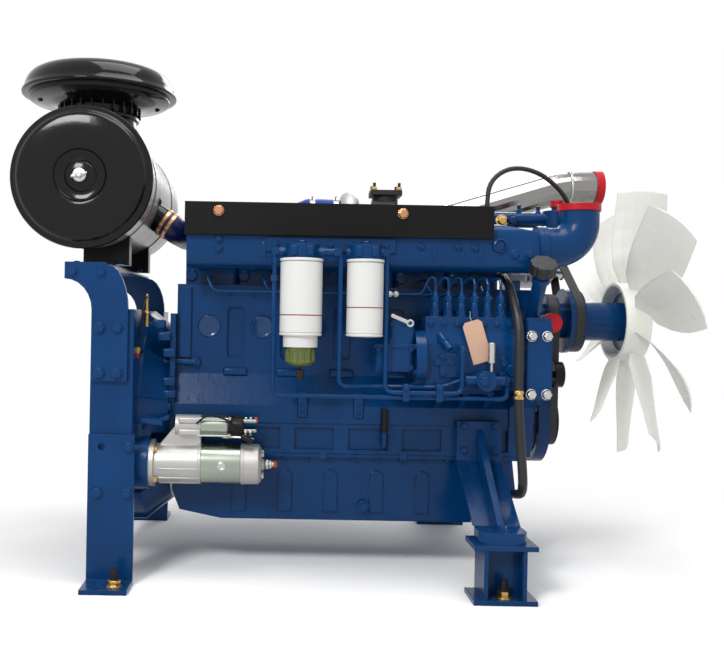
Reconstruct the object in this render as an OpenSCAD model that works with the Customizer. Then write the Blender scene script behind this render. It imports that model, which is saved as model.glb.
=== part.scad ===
// Six-cylinder in-line diesel engine on its shipping feet.
// The crank axis is the X axis, the flywheel end is at x = 0, +X runs to the fan,
// -Y is the fuel pump side and +Y is the exhaust side.

/* [Cylinder block] */
// Number of cylinders in line
cylinder_count = 6; // [4:1:6]
// Distance from one cylinder to the next
cylinder_pitch = 150; // [148:1:160]
// Wall beyond the first and the last cylinder
end_wall = 16; // [14:1:30]
// Height of the block's top deck above the crank axis
deck_z = 384; // [376:1:392]
// Half the width of the block at the cylinders
block_half = 190; // [186:1:196]
// How far the block's bottom flange stands out beyond its sides
skirt_flare = 35; // [33:1:37]
// Radius of the crankshaft's main journals
journal_r = 50; // [40:1:54]

/* [Crankcase and oil pan] */
// Height of the lower crankcase
ladder_h = 84; // [80:1:88]
// Depth of the oil pan below the lower crankcase
pan_h = 188; // [170:1:196]
// Half the width of the oil pan's body
pan_half = 205; // [198:1:208]

/* [Flywheel end] */
// Depth of the flywheel housing from its open face to the block
housing_len = 205; // [200:1:212]
// Radius of the housing's round flange
flange_r = 324; // [322:1:330]
// Radius of the housing's pilot bore
pilot_r = 292.1; // [290:0.1:294]
// Diameter of the housing's bolt circle
flange_pcd = 619.1; // [616:0.1:622]
// Number of holes in the housing's flange
flange_holes = 12; // [8:4:16]
// Radius of the ring gear over its teeth
ring_gear_r = 278; // [270:1:280]
// Number of ring gear teeth
ring_gear_teeth = 140; // [120:1:160]
// How far the side pads stand out beyond the housing's round flange
pad_reach = 51; // [47:1:54]

/* [Cylinder heads] */
// Height of a cylinder head
head_h = 121; // [116:1:126]
// Half the width of a cylinder head
head_half = 150; // [146:1:154]
// Height of a rocker cover
rocker_h = 105; // [80:1:108]

/* [Front end] */
// Thickness of the timing case
timing_t = 76; // [72:1:84]
// Height of the fan shaft above the crank axis
fan_z = 300; // [298:1:304]
// Tip radius of the fan
fan_r = 393; // [370:1:400]
// Number of fan blades
fan_blades = 10; // [6:1:11]
// Radius of the crank pulley
crank_pulley_r = 70; // [64:1:74]
// Radius of the damper
damper_r = 125; // [110:1:128]

/* [Air filter] */
// Radius of the air filter's canister
filter_r = 176; // [168:1:178]
// Length of the air filter's canister
filter_len = 685; // [670:1:700]
// Height of the air filter's axis above the crank axis
filter_z = 650; // [648:1:660]
// Radius of the rain cap
rain_r = 218; // [205:1:225]

/* [Fuel system] */
// Distance from one pump element to the next
element_pitch = 35; // [34:0.5:36]
// Radius of the primary fuel filter
primary_r = 55; // [50:1:57]
// Radius of the secondary fuel filter
secondary_r = 47.5; // [44:0.5:50]
// Length of a fuel filter's can
fuel_can_h = 200; // [180:1:210]

/* [Feet] */
// Height of the crank axis above the floor
crank_height = 412; // [408:1:420]
// Thickness of the feet's plates
foot_t = 12; // [10:1:13]

/* [Hidden] */
$fn = 64;

// Shared allowances
cut = 1;
run_gap = 0.05;
air_gap = 0.3;
cast_wall = 8;
bolt_r = 8;
bolt_head = 10;

// Places along the crank axis
block_x0 = housing_len;
block_x1 = block_x0 + cylinder_count * cylinder_pitch + 2 * end_wall;
first_x = block_x0 + end_wall + cylinder_pitch / 2;
front_x = block_x1 + timing_t;
rail_z = -ladder_h;
floor_z = -crank_height;
head_z = deck_z + head_h;
rocker_z = head_z + rocker_h;
skirt_half = block_half + skirt_flare;
pad_half = flange_r + pad_reach;
function cylinder_x(i) = first_x + i * cylinder_pitch;

// A box from its two corners
module box(x0, x1, y0, y1, z0, z1) {
    translate([x0, y0, z0]) cube([x1 - x0, y1 - y0, z1 - z0]);
}

// Round bars along each axis, from one place to another
module rod_x(r, x0, x1) {
    translate([x0, 0, 0]) rotate([0, 90, 0]) cylinder(r = r, h = x1 - x0);
}
module rod_y(r, y0, y1) {
    translate([0, y0, 0]) rotate([-90, 0, 0]) cylinder(r = r, h = y1 - y0);
}
module rod_z(r, z0, z1) {
    translate([0, 0, z0]) cylinder(r = r, h = z1 - z0);
}

// Outlines pushed along an axis: (y, z) along X, (x, z) along Y
module prism_x(outline, x0, x1) {
    translate([x0, 0, 0]) rotate([90, 0, 90]) linear_extrude(x1 - x0) polygon(outline);
}
module prism_y(outline, y0, y1) {
    translate([0, y1, 0]) rotate([90, 0, 0]) linear_extrude(y1 - y0) polygon(outline);
}

// Profiles turned about an axis: (radius, x) about X and (radius, y) about Y
module turned_x(profile) {
    rotate([0, 90, 0]) rotate_extrude() polygon(profile);
}
module turned_y(profile) {
    rotate([-90, 0, 0]) rotate_extrude() polygon(profile);
}

// Both sides of the engine
module both_sides() {
    children();
    mirror([0, 1, 0]) children();
}

// A block with its four upright edges rounded
module soft_block(x0, x1, y0, y1, z0, z1, r) {
    box(x0 + r, x1 - r, y0, y1, z0, z1);
    box(x0, x1, y0 + r, y1 - r, z0, z1);
    for (x = [x0 + r, x1 - r], y = [y0 + r, y1 - r])
        translate([x, y, 0]) rod_z(r, z0, z1);
}

// A plate in the X-Z plane with rounded corners
module soft_plate_y(x0, x1, z0, z1, y0, y1, r) {
    box(x0 + r, x1 - r, y0, y1, z0, z1);
    box(x0, x1, y0, y1, z0 + r, z1 - r);
    for (x = [x0 + r, x1 - r], z = [z0 + r, z1 - r])
        translate([x, 0, z]) rod_y(r, y0, y1);
}

// Routes with rounded corners, and the tube that follows one
function unit(v) = v / norm(v);
function bezier(a, b, c, t) = (1 - t) * (1 - t) * a + 2 * t * (1 - t) * b + t * t * c;
function leg(a, b, bend) = min(bend, norm(b - a) / 2.01);
function rounded(p, bend, steps) = [
    p[0],
    for (i = [1 : len(p) - 2])
        let (a = p[i] + leg(p[i], p[i - 1], bend) * unit(p[i - 1] - p[i]),
             c = p[i] + leg(p[i], p[i + 1], bend) * unit(p[i + 1] - p[i]))
            for (k = [0 : steps]) bezier(a, p[i], c, k / steps),
    p[len(p) - 1]];
function tangent(p, i) = unit(p[min(i + 1, len(p) - 1)] - p[max(i - 1, 0)]);
function square_to(t, s) = unit(s - (s * t) * t);
function sides_along(p, s, i = 0) = i == len(p) ? [] :
    let (n = square_to(tangent(p, i), s)) concat([n], sides_along(p, n, i + 1));
function across(t) = abs(t.z) < 0.9 ? [0, 0, 1] : [0, 1, 0];
module swept(p, radii, n) {
    s = sides_along(p, square_to(tangent(p, 0), across(tangent(p, 0))));
    last = len(p) - 1;
    points = [for (i = [0 : last]) let (t = tangent(p, i), b = cross(t, s[i]))
        for (k = [0 : n - 1])
            p[i] + radii[i] * (cos(360 * k / n) * s[i] + sin(360 * k / n) * b)];
    walls = [for (i = [0 : last - 1], k = [0 : n - 1], h = [0, 1]) let (m = (k + 1) % n)
        h == 0 ? [i * n + k, i * n + n + m, i * n + m] : [i * n + k, i * n + n + k, i * n + n + m]];
    ends = [for (k = [1 : n - 2], h = [0, 1])
        h == 0 ? [0, k, k + 1] : [last * n, last * n + k + 1, last * n + k]];
    polyhedron(points, concat(walls, ends));
}
module pipe(p, r, bend, n = 10, steps = 4) {
    route = rounded(p, bend, steps);
    swept(route, [for (q = route) r], n);
}

// Cylinder block with its core plugs, water slots and the shelf under the fuel pump
ledge_z = 133;
skirt_z = 49;
plug_r = 32;
plug_z = 266;
plug_depth = 3;
slot_w = 47;
slot_z0 = 177;
slot_z1 = 321;
slot_depth = 9;
rear_pad_w = 32;
rear_pad_t = 10;
rear_pad_z0 = 178;
shelf_back = 60;
shelf_len = 150;
shelf_out = 110;
shelf_x1 = block_x1 - shelf_back;
shelf_x0 = shelf_x1 - shelf_len;
shelf_y = block_half + shelf_out;
shelf_t = 16;
pump_z0 = 112;
module cylinder_block() color("royalblue") {
    difference() {
        prism_x([[-block_half, deck_z], [-block_half, ledge_z], [-skirt_half, skirt_z],
            [-skirt_half, 0], [skirt_half, 0], [skirt_half, skirt_z], [block_half, ledge_z],
            [block_half, deck_z]], block_x0, block_x1);
        rod_x(journal_r + run_gap, block_x0 - cut, block_x1 + cut);
        both_sides() for (i = [0 : cylinder_count - 1])
            translate([cylinder_x(i), 0, plug_z])
                rod_y(plug_r, -block_half - cut, plug_depth - block_half);
        both_sides() for (i = [0 : cylinder_count - 2])
            soft_plate_y(cylinder_x(i) + (cylinder_pitch - slot_w) / 2,
                cylinder_x(i) + (cylinder_pitch + slot_w) / 2,
                slot_z0, slot_z1, -block_half - cut, slot_depth - block_half, slot_w / 4);
    }
    both_sides() box(block_x0 + cast_wall, block_x0 + cast_wall + rear_pad_w,
        -block_half - rear_pad_t, -block_half, rear_pad_z0, deck_z - cast_wall);
    box(shelf_x0, shelf_x1, -shelf_y, -block_half, pump_z0 - shelf_t, pump_z0);
    for (x = [shelf_x0, (shelf_x0 + shelf_x1 - shelf_t) / 2, shelf_x1 - shelf_t])
        prism_x([[-shelf_y, pump_z0 - shelf_t], [-skirt_half, skirt_z], [-block_half, skirt_z],
            [-block_half, pump_z0 - shelf_t]], x, x + shelf_t);
}

// Lower crankcase, which carries the crankshaft's lower bearing halves
ladder_inset = 5;
foot_pad_out = 15;
ladder_half = skirt_half - ladder_inset;
foot_pad_half = skirt_half + foot_pad_out;
foot_back = 27;
foot_w = 122;
foot_x1 = block_x1 - foot_back;
foot_x0 = foot_x1 - foot_w;
seam_lip = 12;
lug_w = 40;
dip_from_rear = 585;
dip_out = 16;
dip_x = block_x0 + dip_from_rear;
dip_y = -ladder_half - dip_out;
dip_tube_r = 8;
dip_tube_z0 = -60;
dip_tube_z1 = -20;
dip_hole_r = 4;
module lower_crankcase() color("royalblue") difference() {
    union() {
        box(block_x0, block_x1, -ladder_half + seam_lip, ladder_half - seam_lip, rail_z, 0);
        for (z = [rail_z, -seam_lip])
            box(block_x0, block_x1, -ladder_half, ladder_half, z, z + seam_lip);
        both_sides() for (i = [0 : cylinder_count - 2])
            box(cylinder_x(i) + (cylinder_pitch - lug_w) / 2, cylinder_x(i) + (cylinder_pitch + lug_w) / 2,
                -ladder_half, -ladder_half + seam_lip, rail_z, 0);
        both_sides() box(foot_x0, foot_x1, -foot_pad_half, -ladder_half, rail_z, 0);
        translate([dip_x, dip_y, 0]) rod_z(dip_tube_r, dip_tube_z0, dip_tube_z1);
        box(dip_x - dip_tube_r, dip_x + dip_tube_r, dip_y, -ladder_half + seam_lip,
            dip_tube_z0, dip_tube_z0 + seam_lip);
    }
    rod_x(journal_r + run_gap, block_x0 - cut, block_x1 + cut);
    translate([dip_x, dip_y, 0]) rod_z(dip_hole_r, dip_tube_z0 + seam_lip, dip_tube_z1 + cut);
}

// Oil pan with its flange, pressed ribs and drain plugs
pan_rear_out = 6;
pan_front_out = 29;
pan_x0 = block_x0 - pan_rear_out;
pan_x1 = block_x1 + pan_front_out;
pan_flange_t = 12;
pan_flange_inset = 7;
pan_flange_half = skirt_half - pan_flange_inset;
pan_z = rail_z - pan_h;
pan_rear_cut = 23;
pan_rear_run = 140;
pan_front_run = 127;
pan_front_drop = 113;
pan_rear_drop = 108;
pan_front_z = rail_z - pan_front_drop;
pan_rear_z = rail_z - pan_rear_drop;
pan_rib_w = 38;
pan_rib_t = 5;
pan_rib_pitch = 128;
pan_ribs = 5;
pan_rib_drop = 48;
pan_rib_start = 190;
drain_start = 242;
side_plug_back = 429;
pan_rib_z1 = rail_z - pan_rib_drop;
pan_rib_x = pan_x0 + pan_rib_start;
drain_x = pan_x0 + drain_start;
drain_r = 15;
drain_drop = 14;
side_plug_x = pan_x1 - side_plug_back;
side_plug_z = -230;
side_plug_r = 12;
module oil_pan() color("royalblue") {
    box(pan_x0, pan_x1, -pan_flange_half, pan_flange_half, rail_z - pan_flange_t, rail_z);
    prism_y([[pan_x0 + pan_flange_t, rail_z - pan_flange_t], [pan_x0, pan_rear_z],
        [pan_x0 + pan_rear_cut, pan_z + pan_rear_cut], [pan_x0 + pan_rear_run, pan_z],
        [pan_x1 - pan_front_run, pan_z], [pan_x1, pan_front_z],
        [pan_x1 - pan_flange_t, rail_z - pan_flange_t]], -pan_half, pan_half);
    both_sides() for (i = [0 : pan_ribs - 1]) translate([pan_rib_x + i * pan_rib_pitch, 0, 0]) {
        box(-pan_rib_w / 2, pan_rib_w / 2, -pan_half - pan_rib_t, -pan_half,
            pan_z + pan_rear_cut, pan_rib_z1 - pan_rib_w / 2);
        translate([0, 0, pan_rib_z1 - pan_rib_w / 2]) rod_y(pan_rib_w / 2, -pan_half - pan_rib_t, -pan_half);
    }
    translate([drain_x, 0, 0]) rod_z(drain_r, pan_z - drain_drop, pan_z);
    translate([side_plug_x, 0, side_plug_z]) rod_y(side_plug_r, -pan_half - drain_drop, -pan_half);
}

// One cylinder head for each cylinder, with its ports' flanges
head_gap = 2;
head_r = 14;
module cylinder_heads() color("royalblue") for (i = [0 : cylinder_count - 1])
    soft_block(cylinder_x(i) - cylinder_pitch / 2 + head_gap / 2,
        cylinder_x(i) + cylinder_pitch / 2 - head_gap / 2, -head_half, head_half,
        deck_z, head_z, head_r);

// Rocker covers, one on each head, with a raised crown and two cap nuts
rocker_half_x = 62;
rocker_y0 = -108;
rocker_y1 = 95;
rocker_lip = 14;
rocker_lip_w = 8;
rocker_r = 26;
cap_nut_r = 12;
cap_nut_h = 16;
module rocker_covers() color("royalblue") for (i = [0 : cylinder_count - 1])
    translate([cylinder_x(i), 0, 0]) {
    soft_block(-rocker_half_x - rocker_lip_w, rocker_half_x + rocker_lip_w, rocker_y0 - rocker_lip_w,
        rocker_y1 + rocker_lip_w, head_z, head_z + rocker_lip, rocker_r);
    soft_block(-rocker_half_x, rocker_half_x, rocker_y0, rocker_y1, head_z + rocker_lip,
        rocker_z - cap_nut_h, rocker_r);
    for (y = [rocker_y0 / 2, rocker_y1 / 2])
        translate([0, y, 0]) rod_z(cap_nut_r, rocker_z - cap_nut_h, rocker_z);
}

// Water rail above the heads, which ends in the thermostat housing at the front
water_y = -140;
water_lift = 82;
water_z = head_z + water_lift;
water_r = 22;
water_run = 40;
water_x0 = first_x - water_run;
water_x1 = front_x + water_run;
riser_r = 14;
rail_flange_r = 30;
rail_flange_t = 10;
thermo_out = 75;
thermo_x = front_x + thermo_out;
thermo_r = 42;
thermo_below = 52;
thermo_above = 26;
thermo_z0 = water_z - thermo_below;
thermo_z1 = water_z + thermo_above;
outlet_r = 16;
outlet_h = 12;
nipple_x = 24;
nipple_y = -35;
nipple_r = 13;
module water_rail() color("royalblue") {
    translate([0, water_y, water_z]) {
        rod_x(water_r, water_x0, water_x1);
        for (i = [0 : cylinder_count - 2]) translate([cylinder_x(i) + cylinder_pitch / 2, 0, 0])
            rod_x(rail_flange_r, -rail_flange_t, rail_flange_t);
    }
    for (i = [0 : cylinder_count - 1]) translate([cylinder_x(i), water_y + riser_r / 2, 0])
        rod_z(riser_r, head_z, water_z);
    translate([thermo_x, water_y, 0]) {
        rod_z(thermo_r, thermo_z0, thermo_z1);
        rod_z(outlet_r, thermo_z1, thermo_z1 + outlet_h);
        translate([nipple_x, nipple_y, 0]) rod_z(nipple_r, thermo_z0 + nipple_r, thermo_z1);
    }
}

// Flywheel housing with its round flange, bell, side pads and starter boss
flange_t = 20;
bell_r = 308;
bell_x1 = 118;
bell_back_x = 112;
neck_r = 250;
neck_t = 15;
neck_x = housing_len - neck_t;
neck_top = 300;
side_pad_w = 112;
side_pad_z0 = -132;
side_pad_z1 = 308;
side_pad_y0 = 250;
seal_r = 62;
pilot_step = 4;
flange_hole_r = 6.75;
starter_gap = 75;
starter_y = -pan_half - starter_gap;
starter_z = -107;
starter_x0 = 149;
starter_boss_r = 72;
nose_r = 38;
rib_t = 14;
rib_angles = [20, 50, 75, 105, 130, 160, 200, 250, 290, 340];
module flywheel_housing() color("royalblue") difference() {
    union() {
        turned_x([[0, 0], [flange_r, 0], [flange_r, flange_t], [bell_r, flange_t + cast_wall],
            [bell_r - cut, bell_x1], [neck_r, neck_x], [0, neck_x]]);
        box(neck_x, block_x0, -skirt_half, skirt_half, rail_z, neck_top);
        both_sides() box(0, side_pad_w, -pad_half, -side_pad_y0, side_pad_z0, side_pad_z1);
        for (a = rib_angles) rotate([a, 0, 0])
            prism_y([[flange_t, bell_r - cast_wall], [flange_t, bell_r + cast_wall],
                [bell_x1, bell_r + cast_wall], [neck_x, neck_r], [neck_x, neck_r - rib_t]], -rib_t / 2, rib_t / 2);
        translate([0, starter_y, starter_z]) rod_x(starter_boss_r, flange_t, starter_x0);
    }
    rod_x(pilot_r, -cut, flange_t);
    rod_x(pilot_r - pilot_step, flange_t - cut, bell_back_x);
    rod_x(seal_r, 0, block_x0 + cut);
    for (i = [0 : flange_holes - 1]) rotate([360 * (i + 0.5) / flange_holes, 0, 0])
        translate([0, 0, flange_pcd / 2]) rod_x(flange_hole_r, -cut, flange_t - pilot_step);
    translate([0, starter_y, starter_z]) {
        rod_x(nose_r + run_gap, bell_back_x - cut, starter_x0 + cut);
        rod_x(starter_boss_r + 2 * pilot_step, starter_x0, block_x0 + cut);
    }
}

// Timing case at the front, with the bulge behind the fuel pump
bulge_out = 200;
bulge_y = block_half + bulge_out;
bulge_z0 = 96;
bulge_z1 = 304;
case_out = 10;
case_half = skirt_half + case_out;
case_shoulder = 40;
cover_inset = 24;
cover_t = 12;
seal_cover_r = 78;
seal_cover_t = 22;
nose_bore = 40;
case_x1 = front_x - cover_t;
function case_outline(d) = [[-pan_flange_half + d, rail_z + d], [-case_half + d, bulge_z0 - case_shoulder],
    [-bulge_y + d, bulge_z0 + d], [-bulge_y + d, bulge_z1 - d], [-case_half - d, bulge_z1 - d],
    [-block_half + d, deck_z - d], [block_half - d, deck_z - d], [case_half - d, bulge_z1 - d],
    [case_half - d, rail_z + case_shoulder], [pan_flange_half - d, rail_z + d]];
module timing_case() color("royalblue") difference() {
    union() {
        prism_x(case_outline(0), block_x1, case_x1);
        prism_x(case_outline(cover_inset), case_x1, front_x);
        rod_x(seal_cover_r, front_x, front_x + seal_cover_t);
    }
    rod_x(nose_bore + run_gap, block_x1 - cut, front_x + seal_cover_t + cut);
}

// Plate on the side of the timing case, with its four bolts
plate_t = 8;
plate_bolt_inset = 12;
plate_w = 64;
plate_z0 = 96;
plate_z1 = 296;
plate_bolts_z = [105, 256];
plate_bolt_r = 12;
module front_support_plate() color("royalblue") {
    soft_plate_y(block_x1 + cut, block_x1 + plate_w, plate_z0, plate_z1,
        -bulge_y - plate_t, -bulge_y, plate_t);
    for (x = [block_x1 + plate_bolt_inset, block_x1 + plate_w - plate_bolt_inset], z = plate_bolts_z)
        translate([x, 0, z]) rod_y(plate_bolt_r, -bulge_y - plate_t - bolt_head, -bulge_y - plate_t);
}

// Intake manifold along the heads, with a runner to each and a deep front chamber
manifold_y0 = -320;
manifold_y1 = -215;
manifold_z0 = 425;
manifold_z1 = 556;
manifold_r = 34;
manifold_inset = 35;
manifold_back = 11;
manifold_x0 = block_x0 + manifold_inset;
manifold_x1 = front_x - manifold_back;
chamber_drop = 24;
runner_half = 45;
runner_z0 = 442;
runner_z1 = 502;
lug_half = 20;
panel_z1 = 599;
panel_z0 = 512;
panel_inset = 31;
panel_len = 824;
panel_x0 = block_x0 + panel_inset;
panel_x1 = panel_x0 + panel_len;
panel_y = -336;
manifold_flange_t = 14;
manifold_flange_r = 58;
elbow_y = -272;
elbow_z = 498;
boss_back = 134;
boss_x = front_x - boss_back;
boss_r = 14;
panel_bolts_share = [0.11, 0.705];
module manifold_section(x0, x1, d) {
    box(x0, x1, manifold_y0 - d + manifold_r, manifold_y1 - manifold_r, manifold_z0, manifold_z1);
    box(x0, x1, manifold_y0 - d, manifold_y1, manifold_z0 + manifold_r, manifold_z1 - manifold_r);
    for (y = [manifold_y0 - d + manifold_r, manifold_y1 - manifold_r],
         z = [manifold_z0 + manifold_r, manifold_z1 - manifold_r])
        translate([0, y, z]) rod_x(manifold_r, x0, x1);
}
module intake_manifold() color("royalblue") {
    difference() {
        manifold_section(manifold_x0, manifold_x1 - manifold_flange_t, 0);
        prism_y([[panel_x1 + lug_half, manifold_z1 + cut], [panel_x1 + lug_half, manifold_z1],
            [manifold_x1, manifold_z1 - chamber_drop], [manifold_x1, manifold_z1 + cut]],
            manifold_y0 - cut, manifold_y1 + cut);
    }
    translate([0, elbow_y, elbow_z]) rod_x(manifold_flange_r, manifold_x1 - manifold_flange_t, manifold_x1);
    for (i = [0 : cylinder_count - 1])
        box(cylinder_x(i) - runner_half, cylinder_x(i) + runner_half,
            manifold_y1, -head_half, runner_z0, runner_z1);
    for (x = [for (share = panel_bolts_share) panel_x0 + share * (panel_x1 - panel_x0)])
        box(x - lug_half, x + lug_half, panel_y, manifold_y0 + manifold_r, manifold_z1 - manifold_r, panel_z1 - cast_wall);
    translate([boss_x, 0, manifold_z1 - 2 * manifold_r + cast_wall])
        rod_y(boss_r, manifold_y0 - cast_wall, manifold_y0);
}

// Elbow that turns the intake upward in front of the manifold
elbow_r = 54;
elbow_bend = 66;
elbow_run = 39;
elbow_flange_t = 12;
elbow_x0 = manifold_x1;
elbow_up_x = elbow_x0 + elbow_run + elbow_bend;
elbow_top = 597;
elbow_wall = 6;
module intake_elbow() color("royalblue") difference() {
    union() {
        translate([0, elbow_y, elbow_z]) {
            rod_x(manifold_flange_r, elbow_x0, elbow_x0 + elbow_flange_t);
            rod_x(elbow_r, elbow_x0, elbow_x0 + elbow_run);
        }
        translate([elbow_x0 + elbow_run, elbow_y, elbow_z + elbow_bend]) rotate([-90, 0, 0])
            rotate_extrude(angle = 90) translate([elbow_bend, 0]) circle(r = elbow_r);
        translate([elbow_up_x, elbow_y, 0]) rod_z(elbow_r, elbow_z + elbow_bend, elbow_top);
    }
    translate([elbow_up_x, elbow_y, 0]) rod_z(elbow_r - elbow_wall, elbow_z + elbow_bend, elbow_top + cut);
}

// Charge-air pipe from the turbocharger forward over the engine
pipe_y = 146;
pipe_r = 50;
turbo_y = 290;
turbo_z = 630;
comp_x0 = 690;
comp_t = 62;
comp_r = 92;
comp_mid = comp_x0 + comp_t / 2;
comp_out_r = 34;
comp_out_drop = 60;
comp_out_z = turbo_z - comp_out_drop;
pipe_bend_run = 179;
pipe_end_run = 96;
pipe_low_run = 161;
pipe_bend_x = front_x + pipe_bend_run;
pipe_end_x = pipe_bend_x + pipe_end_run;
pipe_top_z = 727;
pipe_corner = 60;
comp_out_y = pipe_y + pipe_r;
pipe_low_x = comp_mid + pipe_low_run;
charge_route = rounded([[comp_mid, comp_out_y, comp_out_z], [comp_mid, pipe_y, comp_out_z],
    [pipe_low_x, pipe_y, comp_out_z + run_gap], [pipe_bend_x, pipe_y, pipe_top_z],
    [pipe_end_x, pipe_y, pipe_top_z]], pipe_corner, 6);
module charge_air_pipe() color("silver")
    swept(charge_route, [for (q = charge_route) q.x < comp_mid + pipe_corner / 2 ? comp_out_r :
        min(pipe_r, comp_out_r + (q.x - comp_mid - pipe_corner / 2) / 4)], 20);

// Caps that close the intake, the charge-air pipe, the thermostat and the timing case
cap_lip = 4;
elbow_cap_h = 18;
pipe_cap_len = 24;
thermo_cap_h = 19;
red_plug_r = 27;
red_plug_len = 25;
inlet_out = 30;
inlet_x = front_x + inlet_out;
inlet_y = 240;
inlet_z = fan_z - cast_wall;
module shipping_caps() color("firebrick") {
    translate([elbow_up_x, elbow_y, 0]) rod_z(elbow_r + cap_lip, elbow_top, elbow_top + elbow_cap_h);
    translate([0, pipe_y, pipe_top_z]) rod_x(pipe_r + cap_lip, pipe_end_x, pipe_end_x + pipe_cap_len);
    translate([thermo_x, water_y, 0])
        rod_z(outlet_r + cap_lip, thermo_z1 + outlet_h, thermo_z1 + outlet_h + thermo_cap_h);
    translate([inlet_x, 0, inlet_z]) rod_y(red_plug_r, -inlet_y - red_plug_len, -inlet_y);
}

// Black sheet-metal panel in front of the manifold
panel_t = 3;
panel_fold = 12;
module cover_panel() color("#222222") {
    box(panel_x0, panel_x1, panel_y - panel_t, panel_y, panel_z0, panel_z1);
    for (z = [panel_z0, panel_z1 - panel_t])
        box(panel_x0, panel_x1, panel_y, panel_y + panel_fold, z, z + panel_t);
    for (share = panel_bolts_share)
        translate([panel_x0 + share * (panel_x1 - panel_x0), 0, panel_z1 - 2 * panel_fold])
            rod_y(bolt_r + cap_lip, panel_y - panel_t - bolt_r, panel_y - panel_t);
}

// Exhaust manifold log with a port flange at each head and the turbocharger's seat
log_y = 205;
log_z = deck_z + 56;
log_r = 38;
port_half = 32;
port_r = 24;
port_t = 14;
turbine_x0 = 800;
turbine_t = 70;
seat_half = 44;
seat_z = 528;
seat_y1 = turbo_y + 40;
module exhaust_manifold() color("#3a3a3a") {
    translate([0, log_y, log_z])
        rod_x(log_r, first_x - port_half, cylinder_x(cylinder_count - 1) + port_half);
    for (i = [0 : cylinder_count - 1]) translate([cylinder_x(i), 0, log_z]) {
        rod_y(port_r, head_half, log_y);
        soft_plate_y(-port_half, port_half, -port_half, port_half, head_half, head_half + port_t, port_t);
    }
    prism_x([[log_y, log_z], [log_y, log_z + log_r], [turbo_y - seat_half, seat_z], [seat_y1, seat_z],
        [seat_y1, seat_z - port_t], [log_y + log_r, log_z]],
        turbine_x0 + turbine_t / 2 - seat_half, turbine_x0 + turbine_t / 2 + seat_half);
}

// Turbine housing and its upright exhaust outlet with four long studs
turbine_r = 72;
turbine_foot = 34;
center_r = 40;
stack_off = 43;
stack_x = turbine_x0 + stack_off;
stack_r = 42;
stack_bore = 34;
stack_z = 724;
stack_flange_t = 16;
stack_flange_half = 52;
stud_span = 82;
stud_r = 5;
stud_len = 24;
module turbo_turbine() color("#2b2b2b") difference() {
    union() {
        translate([0, turbo_y, turbo_z]) {
            rod_x(turbine_r, turbine_x0, turbine_x0 + turbine_t);
            rod_x(center_r, comp_x0 + comp_t, turbine_x0);
        }
        translate([turbine_x0 + turbine_t / 2, turbo_y, 0])
            box(-turbine_foot, turbine_foot, -turbine_foot, turbine_foot, seat_z, turbo_z);
        translate([stack_x, turbo_y, 0]) {
            rod_z(stack_r, turbo_z, stack_z);
            soft_block(-stack_flange_half, stack_flange_half, -stack_flange_half, stack_flange_half,
                stack_z - stack_flange_t, stack_z, port_t);
            for (x = [-stud_span / 2, stud_span / 2], y = [-stud_span / 2, stud_span / 2])
                translate([x, y, 0]) rod_z(stud_r, stack_z - stack_flange_t, stack_z + stud_len);
        }
    }
    translate([stack_x, turbo_y, 0]) rod_z(stack_bore, turbo_z + stack_r, stack_z + cut);
}

// Compressor housing: a scroll with its inlet at the back and its outlet below
inlet_r = 43;
inlet_len = 34;
inlet_wall = 5;
module turbo_compressor() color("gainsboro") difference() {
    union() {
        translate([0, turbo_y, turbo_z]) {
            rod_x(comp_r - comp_t / 2, comp_x0, comp_x0 + comp_t);
            translate([comp_mid, 0, 0]) rotate([0, 90, 0]) rotate_extrude()
                translate([comp_r - comp_t / 2, 0]) circle(r = comp_t / 2);
            rod_x(inlet_r, comp_x0 - inlet_len, comp_x0);
        }
        translate([comp_mid, 0, comp_out_z]) rod_y(comp_out_r, comp_out_y, turbo_y);
    }
    translate([0, turbo_y, turbo_z]) rod_x(inlet_r - inlet_wall, comp_x0 - inlet_len - cut, comp_x0);
}

// Rubber hoses: the coolant vent over the front and the breather down the side
vent_back = 4;
vent_x0 = panel_x1 - vent_back;
vent_x1 = thermo_x + nipple_x;
vent_y0 = -268;
vent_y1 = water_y + nipple_y;
vent_r = 6.5;
vent_rise = 110;
vent_shares = [[0.02, 0.54], [0.19, 0.9], [0.41, 1], [0.67, 0.86], [0.906, 0.46]];
vent_route = concat([[vent_x0, vent_y0, manifold_z1], [vent_x0, vent_y0, thermo_z1]],
    [for (s = vent_shares) [vent_x0 + s[0] * (vent_x1 - vent_x0), vent_y0 + s[0] * (vent_y1 - vent_y0),
        thermo_z1 + s[1] * vent_rise]],
    [[vent_x1, vent_y1, thermo_z1 + 2 * vent_r], [vent_x1, vent_y1, thermo_z1]]);
breather_r = 12;
breather_y = -422;
breather_x = block_x1 - foot_back;
breather_head_z = 422;
breather_z0 = -150;
breather_out = [24, 120, -22];
breather_bend = 50;
breather_route = [[breather_x + breather_r, -head_half, breather_head_z],
    [breather_x + breather_r, -block_half, breather_head_z],
    [breather_x + breather_r, manifold_y0 / 2 + water_y + breather_r * 3, deck_z + breather_r],
    [breather_x, breather_y + breather_r, fan_z - cast_wall],
    [breather_x, breather_y, fan_z - breather_bend], [breather_x, breather_y, -rail_z], [breather_x + breather_r * 1.5, breather_y, breather_z0],
    [breather_x + breather_out.x, breather_y + breather_out.y, breather_z0 + breather_out.z]];
module rubber_hoses() color("#303030") {
    pipe(vent_route, vent_r, breather_bend);
    pipe(breather_route, breather_r, breather_bend);
}

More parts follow.
